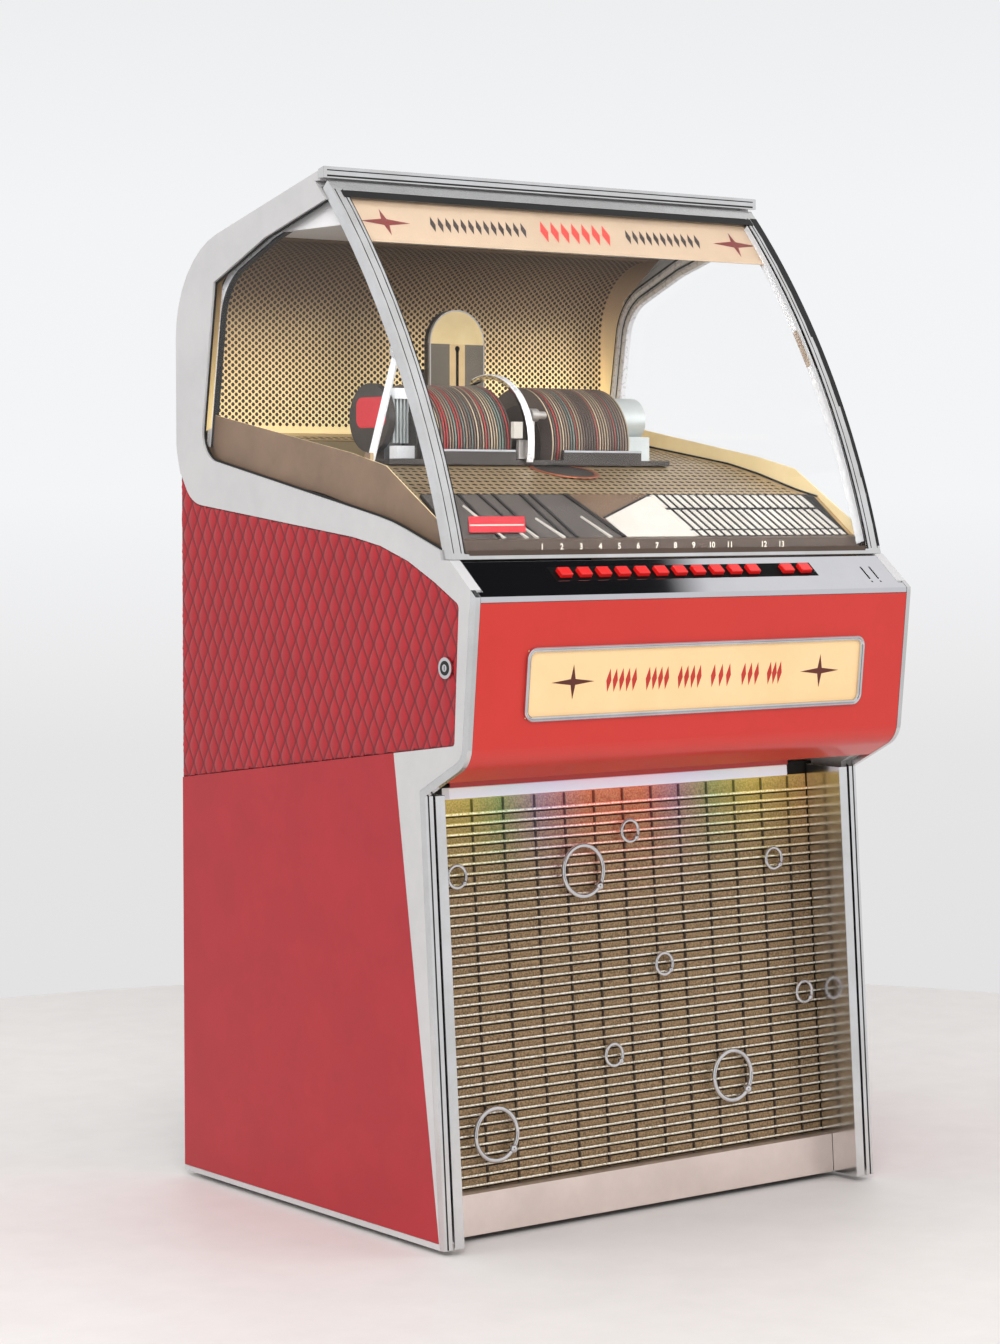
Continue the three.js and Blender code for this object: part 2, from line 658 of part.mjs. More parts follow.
// Windscreen: frame, glass and header strip open together about the frame's top front edge.
const frameHalf = halfWidth - screen.setIn;
const glassHalf = frameHalf - screen.rail - seat;
const glassLow = screen.footZ + screen.bottomRail;
const glassHigh = screen.headZ - screen.topRail;
const glassPane = { inset: 4, thickness: 4 };
const header = { bottomZ: 1425, topZ: 1495, thickness: 3 };
const stay = {
  pivotY: 150, pivotZ: 1267, footY: 213, footZ: 1116, halfWidth: 7, thickness: 3,
  pin: 3, lug: 11, lugThickness: 4, clipDrop: 30,
};
const lugOuter = frameHalf - screen.rail + stay.lugThickness;
const lugInner = frameHalf - screen.rail;
const stayHole = cylinderX(
  stay.pin + seat, lugInner - overrun, lugOuter + overrun, stay.pivotY, stay.pivotZ,
);
const lugRootY = screenY(stay.pivotZ, screen.depth / 2);
const lugPlate = cut(
  joined(
    slabX(
      rectangle(lugRootY, stay.pivotY, stay.pivotZ - stay.lug, stay.pivotZ + stay.lug),
      lugInner, lugOuter,
    ),
    cylinderX(stay.lug, lugInner, lugOuter, stay.pivotY, stay.pivotZ),
  ),
  stayHole,
);
const frameSolid = cut(
  slabX(
    screenBand(0, screen.depth, screen.footZ, screen.headZ, headBackZ), -frameHalf, frameHalf,
  ),
  block(
    [-lugInner, lugInner],
    [screen.footY - overrun, screen.headY + screen.depth + screen.depth],
    [glassLow, glassHigh],
  ),
);
place('windscreen_frame', joined(frameSolid, mirrored(lugPlate, -1)), polishedSteel);
place('windscreen_glass', slabX(
  screenBand(glassPane.inset, glassPane.thickness, glassLow + seat, glassHigh - seat),
  -glassHalf, glassHalf,
), glass);
place('header_strip', slabX(
  screenBand(
    glassPane.inset + glassPane.thickness + running, header.thickness, header.bottomZ, header.topZ,
  ),
  -glassHalf, glassHalf,
), creamPanel);

// Stay arm: a flat bar whose pin turns in the frame's lug.
const stayAngle = Math.atan2(stay.footZ - stay.pivotZ, stay.footY - stay.pivotY);
const stayLength = Math.hypot(stay.footZ - stay.pivotZ, stay.footY - stay.pivotY);
const barOuter = lugInner - seat;
const barInner = barOuter - stay.thickness;
const bar = slabX(
  rectangle(0, stayLength, -stay.halfWidth, stay.halfWidth), -barOuter, -barInner,
).rotate([THREE.MathUtils.radToDeg(stayAngle), 0, 0]).translate([0, stay.pivotY, stay.pivotZ]);
place('stay_arm', joined(
  bar,
  cylinderX(stay.halfWidth, -barOuter, -barInner, stay.pivotY, stay.pivotZ),
  cylinderX(stay.halfWidth, -barOuter, -barInner, stay.footY, stay.footZ),
  cylinderX(stay.pin, -lugOuter, -barInner, stay.pivotY, stay.pivotZ),
), whiteLaminate);

// Side window panes lie in the rebates of the boards, behind the windscreen frame.
const paneEdge = shifted(rounded(windowEdge, false), pane.lap);
const paneInset = mouthInset + pane.frontGap;
const paneLowZ = windowSill.frontZ - pane.lap;
const paneHighZ = windowFrontZ + pane.lap;
const paneOutline = [
  [screenY(paneLowZ, paneInset), paneLowZ],
  ...paneEdge.slice(1, -1),
  ...screenArc(paneInset, paneLowZ, paneHighZ).reverse().slice(0, -1),
];
for (const { name, sign: hand } of sides) {
  const outer = halfWidth - pane.lip - seat;
  const sheet = slabX(paneOutline, outer - pane.thickness, outer);
  place(`side_window_${name}`, mirrored(sheet, hand), glass);
}

// Roof panel: the front trim overhangs the boards, the sheet follows the hood down to its foot.
const hoodSheet = [
  [roof.frontY + roof.sheet, roofZ(roof.frontY + roof.sheet)],
  ...hoodLine.slice(1, -1),
  [hoodLine[hoodLine.length - 1][0], hood.skirtZ + seat],
];
const trimHalf = halfWidth + roof.overhang;
place('roof_panel', joined(
  slabX(sheetAlong(hoodSheet, roof.sheet), -betweenBoards, betweenBoards),
  slabX([
    [roof.frontY, roof.frontZ - roof.trimHeight],
    [roof.frontY, roof.frontZ],
    [trimBackY, roofZ(trimBackY)],
    [trimBackY, roof.frontZ - roof.trimHeight],
  ], -trimHalf, trimHalf),
), whiteLaminate);

// Perforated rear liner of the record compartment, and the deck. The deck's side flanges stand
// above it and hang below the windows' lower edges.
const linerHalf = betweenBoards;
const linerPath = rounded([
  [liner.frontY, liner.topZ],
  [linerBackY, liner.topZ, liner.radius],
  [linerBackY, deck.backZ],
], false);
const paneLine = shifted(rounded(windowEdge, false), liner.sheet);
const linerFlange = [
  ...linerPath,
  ...paneLine.filter(([y, z]) => y > liner.frontY && z > deck.backZ),
  [liner.frontY, liner.topZ - liner.sheet],
];
place('rear_liner', joined(
  slabX(sheetAlong(linerPath, liner.sheet), -linerHalf, linerHalf),
  slabX(linerFlange, linerHalf - liner.flange, linerHalf),
  slabX(linerFlange, -linerHalf, liner.flange - linerHalf),
), goldPanel);

// A white box for the header's lamp hangs under the roof, open at its top.
const lampBox = { wall: 2, topGap: 3 };
const lampBoxOutline = (inset) => {
  const roofLine = (y) => roofZ(y) - roof.sheet - lampBox.topGap + inset;
  const front = screenArc(paneInset + inset, liner.topZ + inset, glassHigh, shortArcSteps);
  const frontTopY = front[front.length - 1][0];
  return [
    ...front,
    [frontTopY, roofLine(frontTopY)],
    [liner.frontY - seat - inset, roofLine(liner.frontY)],
    [liner.frontY - seat - inset, liner.topZ + inset],
  ];
};
place('header_light_box', cut(
  slabX(lampBoxOutline(0), -betweenBoards, betweenBoards),
  slabX(lampBoxOutline(lampBox.wall), lampBox.wall - betweenBoards, betweenBoards - lampBox.wall),
), whiteLaminate);

const flange = {
  thickness: 2, skirt: 48,
  top: [[26, 1018], [75, 1048], [165, 1104], [250, 1123], [330, 1136]], backZ: 1189,
};
const mech = {
  axisY: 385, axisZ: 1141, record: 88.9, front: 288, back: 550, left: -300, right: 240,
  trayHeight: 8, wellGap: 6,
};
const banks = { left: [-212, -62], right: [10, 170] };
const well = {
  x: [banks.left[0] - mech.wellGap, banks.right[1] + mech.wellGap],
  y: [mech.axisY - mech.record - seat, mech.axisY + mech.record + mech.wellGap],
};
const deckPath = [
  [deck.frontY, deck.frontDropZ],
  [deck.frontY, deck.frontZ],
  [deck.bendY, deck.bendZ],
  ...deck.rise,
  [deck.backY - seat, deck.backZ],
];
const [, deckHigh, deckCrest] = deck.rise;
const lipShare = (deck.lipY - deckHigh[0]) / (deckCrest[0] - deckHigh[0]);
const lipZ = THREE.MathUtils.lerp(deckHigh[1], deckCrest[1], lipShare);
const deckHalf = linerHalf - liner.flange - seat;
const flangeOutline = [
  ...flange.top,
  [deck.backY - seat, flange.backZ],
  ...deckPath.slice(1).map(([y, z]) => [y, z - flange.skirt]).reverse(),
];
const stayClip = slabX(
  rectangle(
    stay.footY - stay.halfWidth, stay.footY + stay.halfWidth,
    stay.footZ - stay.clipDrop, stay.footZ + stay.halfWidth,
  ),
  flange.thickness - deckHalf - seat, -barOuter - seat,
);
place('record_deck', cut(
  joined(
    stayClip,
    slabX(sheetAlong(deckPath, deck.sheet), -deckHalf, deckHalf),
    slabX(flangeOutline, deckHalf - flange.thickness, deckHalf),
    slabX(flangeOutline, -deckHalf, flange.thickness - deckHalf),
  ),
  block(
    [mech.left - mech.wellGap, mech.right + mech.wellGap],
    [deck.lipY, mech.back + mech.wellGap],
    [deck.frontZ, flange.backZ],
  ),
), goldPanel);

// Title panel: a sloped card holder over the deck's front, with the number strip along its nose.
const title = { sideGap: 20.7, thickness: 5, noseY: 12, noseZ: 972, stripHeight: 27, stripGap: 10.7 };
const titleHalf = betweenBoards - title.sideGap;
const stripHalf = betweenBoards - title.stripGap;
const titleSlope = Math.atan2(deck.bendZ - deck.frontZ, deck.bendY - deck.frontY);
const titleLift = seat / Math.cos(titleSlope);
const titlePath = [
  [deck.bendY, deck.bendZ + titleLift],
  [deck.frontY, deck.frontZ + titleLift],
];
const noseTopZ = title.noseZ + title.stripHeight;
place('title_panel', joined(
  slabX(sheetAlong(titlePath, title.thickness), -titleHalf, titleHalf),
  slabX([
    [title.noseY, title.noseZ],
    [title.noseY, noseTopZ],
    [deck.frontY, deck.frontZ + title.thickness],
    [deck.frontY - seat, deck.frontZ],
    [deck.frontY - seat, title.noseZ],
  ], -stripHalf, stripHalf),
), whiteLaminate);

// Record mechanism: a tray on the deck carries two banks of records and the travelling player.
const trayBase = lipZ + seat;
const trayTop = trayBase + mech.trayHeight;
const endPlate = { thickness: 6, radius: 60 };
const hoop = { x: -50, width: 12, radius: 106, wall: 6, backY: 425 };
const rail = { height: 23.3, thickness: 6, leftEnd: -66, rightStart: 26 };
const shaft = 8;
const cap = { radius: 36, length: 60, lift: 39, foot: 50, footRise: 13, footEnd: 2 };
const archPlate = (fromX) => joined(
  slabX(
    rectangle(mech.axisY - endPlate.radius, mech.axisY + endPlate.radius, trayBase, mech.axisZ),
    fromX, fromX + endPlate.thickness,
  ),
  cylinderX(endPlate.radius, fromX, fromX + endPlate.thickness, mech.axisY, mech.axisZ),
);
const leftPlateX = well.x[0] - endPlate.thickness;
const rightPlateX = well.x[1];
const capStart = rightPlateX + endPlate.thickness;
const hoopSolid = cut(
  cylinderX(hoop.radius, hoop.x, hoop.x + hoop.width, mech.axisY, mech.axisZ),
  cylinderX(
    hoop.radius - hoop.wall, hoop.x - overrun, hoop.x + hoop.width + overrun, mech.axisY, mech.axisZ,
  ),
  block(
    [hoop.x - overrun, hoop.x + hoop.width + overrun],
    [hoop.backY, mech.axisY + hoop.radius + overrun],
    [mech.axisZ - hoop.radius - overrun, mech.axisZ + hoop.radius + overrun],
  ),
);
const railBlock = (from, to) => block(
  [from, to], [mech.front, mech.front + rail.thickness], [trayBase, trayBase + rail.height],
);
const trayWellX = [leftPlateX + endPlate.thickness, rightPlateX];
const belowTray = block(
  [mech.left, mech.right], [mech.front - overrun, mech.back + overrun],
  [mech.axisZ - hoop.radius - overrun, trayBase],
);
place('mechanism_frame', cut(joined(
  cut(
    block([mech.left, mech.right], [mech.front, mech.back], [trayBase, trayTop]),
    block(trayWellX, well.y, [trayBase - overrun, trayTop + overrun]),
  ),
  archPlate(leftPlateX),
  archPlate(rightPlateX),
  hoopSolid,
  cylinderX(shaft, leftPlateX, rightPlateX + endPlate.thickness, mech.axisY, mech.axisZ),
  railBlock(leftPlateX, rail.leftEnd),
  railBlock(rail.rightStart, rightPlateX + endPlate.thickness),
  cylinderX(cap.radius, capStart, capStart + cap.length, mech.axisY, mech.axisZ + cap.lift),
  block(
    [capStart, mech.right - cap.footEnd], [mech.axisY - cap.foot, mech.axisY + cap.foot],
    [trayBase, mech.axisZ + cap.footRise],
  ),
), belowTray), darkSteel);

// Each bank of records: discs on one hub tube that sits on the shaft.
const disc = { count: 6, share: 0.55, hub: 22, sides: 24 };
for (const [name, [from, to]] of Object.entries(banks)) {
  const pitch = (to - from) / disc.count;
  let bank = cylinderX(disc.hub, from, to, mech.axisY, mech.axisZ, disc.sides);
  for (let index = 0; index < disc.count; index += 1) {
    const start = from + index * pitch;
    bank = bank.add(cylinderX(
      mech.record - running, start, start + pitch * disc.share, mech.axisY, mech.axisZ, disc.sides,
    ));
  }
  bank = cut(bank, cylinderX(shaft + seat, from - overrun, to + overrun, mech.axisY, mech.axisZ));
  place(`record_bank_${name}`, bank, vinylDisc);
}

// Player carriage: an arched housing that rides behind the records on the tray's rear edge.
const carriage = {
  x: -22, halfWidth: 54, front: 496, depth: 42, top: 1353, wall: 3, slot: 7, slotTop: 1318,
  stepZ: 1255, shallow: 14,
};
const carriageBase = trayTop + seat;
const archZ = carriage.top - carriage.halfWidth;
const archOutline = (inset) => rounded([
  [carriage.x - carriage.halfWidth + inset, carriageBase],
  [carriage.x - carriage.halfWidth + inset, carriage.top - inset, carriage.halfWidth - inset - seat],
  [carriage.x + carriage.halfWidth - inset, carriage.top - inset, carriage.halfWidth - inset - seat],
  [carriage.x + carriage.halfWidth - inset, carriageBase],
]);
const carriageBack = carriage.front + carriage.depth;
const spindle = { z: 1235, pin: 4, boss: 10, bossLength: 12 };
const carriageSpindleY = carriage.front + carriage.depth / 2;
const housing = cut(
  slabY(archOutline(0), carriage.front, carriageBack),
  slabY(archOutline(carriage.wall), carriage.front + carriage.wall, carriageBack + overrun),
  block(
    [carriage.x - carriage.slot / 2, carriage.x + carriage.slot / 2],
    [carriage.front - overrun, carriage.front + carriage.wall + overrun],
    [carriageBase + carriage.wall, carriage.slotTop],
  ),
  block(
    [carriage.x - carriage.halfWidth - overrun, carriage.x + carriage.halfWidth + overrun],
    [carriage.front + carriage.shallow, carriageBack + overrun],
    [carriage.stepZ, carriage.top + overrun],
  ),
);
const leftWall = carriage.x - carriage.halfWidth;
const shoe = block(
  [leftWall, carriage.x + carriage.halfWidth], [carriage.front, carriageBack],
  [carriageBase, carriageBase + carriage.wall],
);
const pivotPost = (z) => cylinderX(
  spindle.boss, leftWall, leftWall + carriage.wall + spindle.bossLength, carriageSpindleY, z,
);
const pickup = { z: 1170, length: 62, halfWidth: 5, thickness: 5 };
const bearing = (z) => cylinderX(
  spindle.pin, leftWall, leftWall + carriage.halfWidth, carriageSpindleY, z,
);
place('player_carriage', joined(
  housing, shoe, pivotPost(spindle.z), pivotPost(pickup.z), bearing(spindle.z), bearing(pickup.z),
), darkSteel);
const turntable = { radius: 17, thickness: 8 };
const turntableX = leftWall + carriage.wall + spindle.bossLength + seat;
place('turntable', cut(
  cylinderX(turntable.radius, turntableX, turntableX + turntable.thickness, carriageSpindleY, spindle.z),
  cylinderX(
    spindle.pin + seat, turntableX - overrun, turntableX + turntable.thickness + overrun,
    carriageSpindleY, spindle.z,
  ),
), blackPlastic);
const pickupX = turntableX;
place('pickup_arm', cut(
  joined(
    cylinderX(spindle.boss, pickupX, pickupX + pickup.thickness, carriageSpindleY, pickup.z),
    block(
      [pickupX, pickupX + pickup.thickness],
      [carriageSpindleY - pickup.halfWidth, carriageSpindleY + pickup.halfWidth],
      [pickup.z - pickup.length / 2, pickup.z + pickup.length / 2],
    ),
  ),
  cylinderX(
    spindle.pin + seat, pickupX - overrun, pickupX + pickup.thickness + overrun,
    carriageSpindleY, pickup.z,
  ),
), castAlloy);

// Drive motor at the left end of the tray.
const motor = { radius: 34, length: 32, coverRadius: 52, coverThickness: 12, foot: 22, lift: 37 };
const motorEnd = leftPlateX - seat;
const motorStart = motorEnd - motor.length;
const motorZ = mech.axisZ + motor.lift;
place('drive_motor', joined(
  cylinderX(motor.radius, motorStart, motorEnd, mech.axisY, motorZ),
  cylinderX(motor.coverRadius, motorStart - motor.coverThickness, motorStart, mech.axisY, motorZ),
  block(
    [motorStart, motorEnd], [mech.axisY - motor.foot, mech.axisY + motor.foot],
    [trayTop + seat, motorZ],
  ),
), castAlloy);

// Base board on four glides, rear door with vents, and what stands inside the cabinet.
const base = {
  bottom: 20, thickness: 18, front: 82, glide: 20, glideInset: 57, glideFront: 105, glideBack: 630,
};
const glideX = betweenBoards - base.glideInset;
const baseTop = base.bottom + base.thickness;
const glide = (x, y) => cylinderZ(base.glide, 0, base.bottom + seat, x, y);
const door = {
  thickness: 12, bottom: 12, top: 1084, gap: 2,
  vents: 8, ventPitch: 26, ventHeight: 8, ventHalf: 150, ventZ: 700,
  barrel: 4, barrelLength: 70, barrelZ: [160, 880],
};
place('base_board', joined(
  block(
    [-betweenBoards, betweenBoards], [base.front, bodyBackY - door.thickness - door.gap],
    [base.bottom, baseTop],
  ),
  glide(-glideX, base.glideFront), glide(glideX, base.glideFront),
  glide(-glideX, base.glideBack), glide(glideX, base.glideBack),
), blackBoard);
const inlet = { x: -220, z: 160, halfWidth: 24, halfHeight: 17, depth: 26, plate: 3, lap: 6 };
const doorFront = bodyBackY - door.thickness;
const doorHalf = innerHalf - running;
const vents = Array.from({ length: door.vents }, (_, index) => {
  const z = door.ventZ + index * door.ventPitch;
  return block(
    [-door.ventHalf, door.ventHalf], [doorFront - overrun, bodyBackY + overrun],
    [z, z + door.ventHeight],
  );
});
const barrels = door.barrelZ.map((z) => cylinderZ(
  door.barrel, z, z + door.barrelLength, door.barrel - doorHalf, bodyBackY + door.barrel / 2,
  disc.sides,
));
place('rear_door', cut(
  joined(
    block([-doorHalf, doorHalf], [doorFront, bodyBackY], [door.bottom, door.top]),
    ...barrels,
  ),
  ...vents,
  block(
    [inlet.x - inlet.halfWidth - seat, inlet.x + inlet.halfWidth + seat],
    [doorFront - overrun, bodyBackY + overrun],
    [inlet.z - inlet.halfHeight - seat, inlet.z + inlet.halfHeight + seat],
  ),
), blackBoard);
const socket = { halfWidth: 16, halfHeight: 10, depth: 18 };
place('mains_inlet', cut(
  joined(
    block(
      [inlet.x - inlet.halfWidth, inlet.x + inlet.halfWidth],
      [bodyBackY - inlet.depth, bodyBackY + seat],
      [inlet.z - inlet.halfHeight, inlet.z + inlet.halfHeight],
    ),
    block(
      [inlet.x - inlet.halfWidth - inlet.lap, inlet.x + inlet.halfWidth + inlet.lap],
      [bodyBackY + seat, bodyBackY + seat + inlet.plate],
      [inlet.z - inlet.halfHeight - inlet.lap, inlet.z + inlet.halfHeight + inlet.lap],
    ),
  ),
  block(
    [inlet.x - socket.halfWidth, inlet.x + socket.halfWidth],
    [bodyBackY - socket.depth, bodyBackY + inlet.plate + overrun],
    [inlet.z - socket.halfHeight, inlet.z + socket.halfHeight],
  ),
), blackPlastic);

const amp = {
  x: [-130, 150], y: [430, 620], height: 70, fins: 7, finHeight: 34, finThickness: 4, core: 45,
};
const ampBase = baseTop + seat;
const ampTop = ampBase + amp.height;
const finPitch = (amp.x[1] - amp.x[0]) / 2 / amp.fins;
const fins = Array.from({ length: amp.fins }, (_, index) => block(
  [amp.x[0] + index * finPitch, amp.x[0] + index * finPitch + amp.finThickness],
  amp.y, [ampTop - amp.finThickness, ampTop + amp.finHeight],
));
place('amplifier', joined(
  block(amp.x, amp.y, [ampBase, ampTop]),
  ...fins,
  cylinderZ(
    amp.core, ampTop - amp.finThickness, ampTop + amp.core,
    amp.x[1] - amp.core, (amp.y[0] + amp.y[1]) / 2,
  ),
), castAlloy);

const cashBox = { halfWidth: 45, y: [250, 400], height: 120, wall: 2 };
const boxX = coinX - cashBox.halfWidth - coin.pitch;
place('cash_box', cut(
  block(
    [boxX - cashBox.halfWidth, boxX + cashBox.halfWidth], cashBox.y,
    [ampBase, ampBase + cashBox.height],
  ),
  block(
    [boxX - cashBox.halfWidth + cashBox.wall, boxX + cashBox.halfWidth - cashBox.wall],
    [cashBox.y[0] + cashBox.wall, cashBox.y[1] - cashBox.wall],
    [ampBase + cashBox.wall, ampBase + cashBox.height + overrun],
  ),
), satinSteel);

export default jukebox;
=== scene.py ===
"""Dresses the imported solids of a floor-standing vinyl jukebox for its pictures.

Sizes are in millimetres in the cabinet's own drawing: X to the right, Y back from the front
corner of the foot, Z up from the floor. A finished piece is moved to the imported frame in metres.
"""

import logging
import math
from dataclasses import dataclass, field
from enum import Enum
from functools import lru_cache
from typing import Callable, Sequence

import bmesh
import bpy
from mathutils import Matrix, Vector


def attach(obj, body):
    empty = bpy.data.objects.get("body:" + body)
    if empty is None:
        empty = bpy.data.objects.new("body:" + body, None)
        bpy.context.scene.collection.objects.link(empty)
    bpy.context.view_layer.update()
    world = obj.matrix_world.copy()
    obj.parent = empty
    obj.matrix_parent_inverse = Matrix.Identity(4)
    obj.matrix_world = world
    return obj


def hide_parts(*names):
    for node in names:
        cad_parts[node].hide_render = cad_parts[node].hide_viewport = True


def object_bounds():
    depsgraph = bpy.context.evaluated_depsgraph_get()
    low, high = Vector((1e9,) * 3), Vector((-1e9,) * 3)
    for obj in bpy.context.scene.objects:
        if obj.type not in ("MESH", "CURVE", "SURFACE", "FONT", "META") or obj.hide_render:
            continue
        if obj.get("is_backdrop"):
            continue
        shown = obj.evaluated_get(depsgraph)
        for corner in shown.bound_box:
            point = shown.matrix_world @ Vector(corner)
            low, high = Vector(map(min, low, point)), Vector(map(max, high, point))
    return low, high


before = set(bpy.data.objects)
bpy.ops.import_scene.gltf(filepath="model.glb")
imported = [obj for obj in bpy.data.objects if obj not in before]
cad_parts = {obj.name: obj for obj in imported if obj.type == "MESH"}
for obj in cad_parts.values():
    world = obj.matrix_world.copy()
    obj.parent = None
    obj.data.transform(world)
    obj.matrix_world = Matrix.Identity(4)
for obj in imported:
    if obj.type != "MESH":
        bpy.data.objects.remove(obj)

LOG = logging.getLogger("jukebox")
MM = 0.001
AXIS_DEPTH = 312.5
DRAWING_TO_FRAME = Matrix.Scale(MM, 4) @ Matrix.Translation((0.0, -AXIS_DEPTH, 0.0))
Point2 = tuple[float, float]
Point3 = tuple[float, float, float]

SIGNS = {"left": -1, "right": 1}
BETWEEN_LEGS = 379.5
AXIS_X, AXIS_Y, AXIS_Z = Vector((1, 0, 0)), Vector((0, 1, 0)), Vector((0, 0, 1))
LEAN = math.atan2(46.0, 634.0)
SLOPE = math.atan2(47.0, 57.0)
FACE_TILT = math.atan2(21.0, 223.0)
LEANING = Matrix.Translation((0, 0, 8.0)) @ Matrix.Rotation(-LEAN, 4, "X")
ON_SLOPE = Matrix.Translation((0, -72.0, 923.0)) @ Matrix.Rotation(SLOPE, 4, "X")
SIGN_FACE = Matrix.Translation((0, -61.17, 800.0)) @ Matrix.Rotation(FACE_TILT, 4, "X")


def srgb(code: str) -> tuple[float, float, float, float]:
    """Turns an sRGB hex value into a linear colour.

    Args:
        code: Six hex digits, such as "d8402f".

    Returns:
        The linear red, green, blue and an alpha of 1.
    """
    parts = [int(code[i : i + 2], 16) / 255 for i in (0, 2, 4)]
    linear = [c / 12.92 if c <= 0.04045 else ((c + 0.055) / 1.055) ** 2.4 for c in parts]
    return (linear[0], linear[1], linear[2], 1.0)


def add_node(tree: bpy.types.NodeTree, kind: str, inputs: dict | None = None, **settings) -> bpy.types.Node:
    """Adds a node with its settings, values and links.

    Args:
        tree: The node tree.
        kind: The node's Blender type.
        inputs: A value or another node's output for each input, by index, identifier or name.
        **settings: The node's own properties.

    Returns:
        The new node.
    """
    made = tree.nodes.new(kind)
    for name, value in settings.items():
        setattr(made, name, value)
    for key, value in (inputs or {}).items():
        if isinstance(key, int):
            socket = made.inputs[key]
        else:
            socket = next(s for s in made.inputs if key in (s.identifier, s.name))
        if isinstance(value, bpy.types.NodeSocket):
            tree.links.new(value, socket)
        else:
            socket.default_value = value
    return made


class Grain(Enum):
    """How a finish's surface was made."""

    FINE = "fine even texture"
    BRUSHED_X = "brushed along X"
    BRUSHED_Z = "brushed along Z"
    PEEL = "sprayed or moulded, with a faint orange peel"
    LEATHER = "pressed leather grain"


@dataclass(frozen=True)
class Finish:
    """One real finish, as a procedural material.

    Attributes:
        name: The material's name.
        colour: Its sRGB hex colour.
        second: The colour that it drifts to over about 90 mm.
        metallic: 1 for bare metal.
        roughness: Its mean roughness.
        grain: How its surface was made.
        grain_mm: The grain's size.
        bump_mm: The grain's height.
        roughness_spread: How far the grain changes the roughness to either side.
        coat: The weight of a clear coat.
        ior: Its index of refraction.
        glow: The strength of light from lamps behind it.
    """

    name: str
    colour: str
    second: str
    metallic: float
    roughness: float
    grain: Grain
    grain_mm: float
    bump_mm: float
    roughness_spread: float = 0.08
    coat: float = 0.0
    ior: float = 1.5
    glow: float = 0.0

    def material(self) -> bpy.types.Material:
        """Returns the finish's material, made once."""
        return finish_material(self)

    def surface(self, tree: bpy.types.NodeTree) -> bpy.types.Node:
        """Builds the shader with colour, gloss and relief that vary over the surface.

        Args:
            tree: The material's node tree.

        Returns:
            The shader node.
        """
        place = add_node(tree, "ShaderNodeTexCoord").outputs["Object"]
        stretch = {Grain.BRUSHED_X: (0.02, 1, 1), Grain.BRUSHED_Z: (1, 1, 0.02)}.get(self.grain, (1, 1, 1))
        mapped = add_node(tree, "ShaderNodeMapping", {"Vector": place, "Scale": stretch}).outputs[0]
        fine = {"Vector": mapped, "Scale": 1000.0 / self.grain_mm}
        if self.grain is Grain.LEATHER:
            pores = add_node(tree, "ShaderNodeTexVoronoi", fine, feature="DISTANCE_TO_EDGE")
            height = pores.outputs["Distance"]
        else:
            fine |= {"Detail": 3.0, "Roughness": 0.6}
            height = add_node(tree, "ShaderNodeTexNoise", fine).outputs["Fac"]
        # Slow variation over about 90 mm, as handling and age leave on any finish.
        slow = add_node(tree, "ShaderNodeTexNoise", {
            "Vector": place, "Scale": 11.0, "Detail": 4.0, "Roughness": 0.65,
        })
        blend = ranged(tree, slow.outputs["Fac"], 0.35, 0.65)
        spread = ranged(tree, height, 0.0, 1.0, -self.roughness_spread, self.roughness_spread)
        rough = add_node(tree, "ShaderNodeMath", {
            0: spread, 1: self.roughness,
        }, operation="ADD", use_clamp=True)
        bump = add_node(tree, "ShaderNodeBump", {
            "Height": height, "Distance": self.bump_mm * MM, "Strength": 0.6,
        })
        shader = add_node(tree, "ShaderNodeBsdfPrincipled", {
            "Base Color": mixed(tree, blend, srgb(self.colour), srgb(self.second)),
            "Roughness": rough.outputs[0], "Normal": bump.outputs[0], "Metallic": self.metallic,
            "IOR": self.ior, "Coat Weight": self.coat, "Coat Roughness": 0.08,
        })
        if self.glow:
            shader.inputs["Emission Color"].default_value = srgb(self.colour)
            shader.inputs["Emission Strength"].default_value = self.glow
        return shader


def compute(tree: bpy.types.NodeTree, operation: str, one: object, two: object) -> bpy.types.NodeSocket:
    """Returns what a math node makes of two values."""
    return add_node(tree, "ShaderNodeMath", {0: one, 1: two}, operation=operation).outputs[0]


def ranged(tree: bpy.types.NodeTree, value: bpy.types.NodeSocket, low: float, high: float,
           first: float = 0.0, last: float = 1.0) -> bpy.types.NodeSocket:
    """Maps a value's range to another.

    Args:
        tree: The node tree.
        value: The value.
        low: Where its range starts.
        high: Where its range ends.
        first: What low becomes, and all below it.
        last: What high becomes, and all above it.

    Returns:
        The mapped value.
    """
    return add_node(tree, "ShaderNodeMapRange", {
        "Value": value, "From Min": low, "From Max": high, "To Min": first, "To Max": last,
    }).outputs[0]


def mixed(tree: bpy.types.NodeTree, share: object, one: object, two: object, blend: str = "MIX"
          ) -> bpy.types.NodeSocket:
    """Blends two colours.

    Args:
        tree: The node tree.
        share: How much of the second is used.
        one: The first colour.
        two: The second colour.
        blend: How they are blended.

    Returns:
        The blended colour.
    """
    return add_node(tree, "ShaderNodeMix", {
        "Factor_Float": share, "A_Color": one, "B_Color": two,
    }, data_type="RGBA", blend_type=blend).outputs["Result"]


def on_axis(tree: bpy.types.NodeTree, axis: str, low: float, high: float, first: float = 0.0,
            last: float = 1.0) -> bpy.types.NodeSocket:
    """Returns a value that runs from first to last between two places in metres along an axis."""
    place = add_node(tree, "ShaderNodeTexCoord")
    split = add_node(tree, "ShaderNodeSeparateXYZ", {0: place.outputs["Object"]})
    return ranged(tree, split.outputs[axis], low, high, first, last)


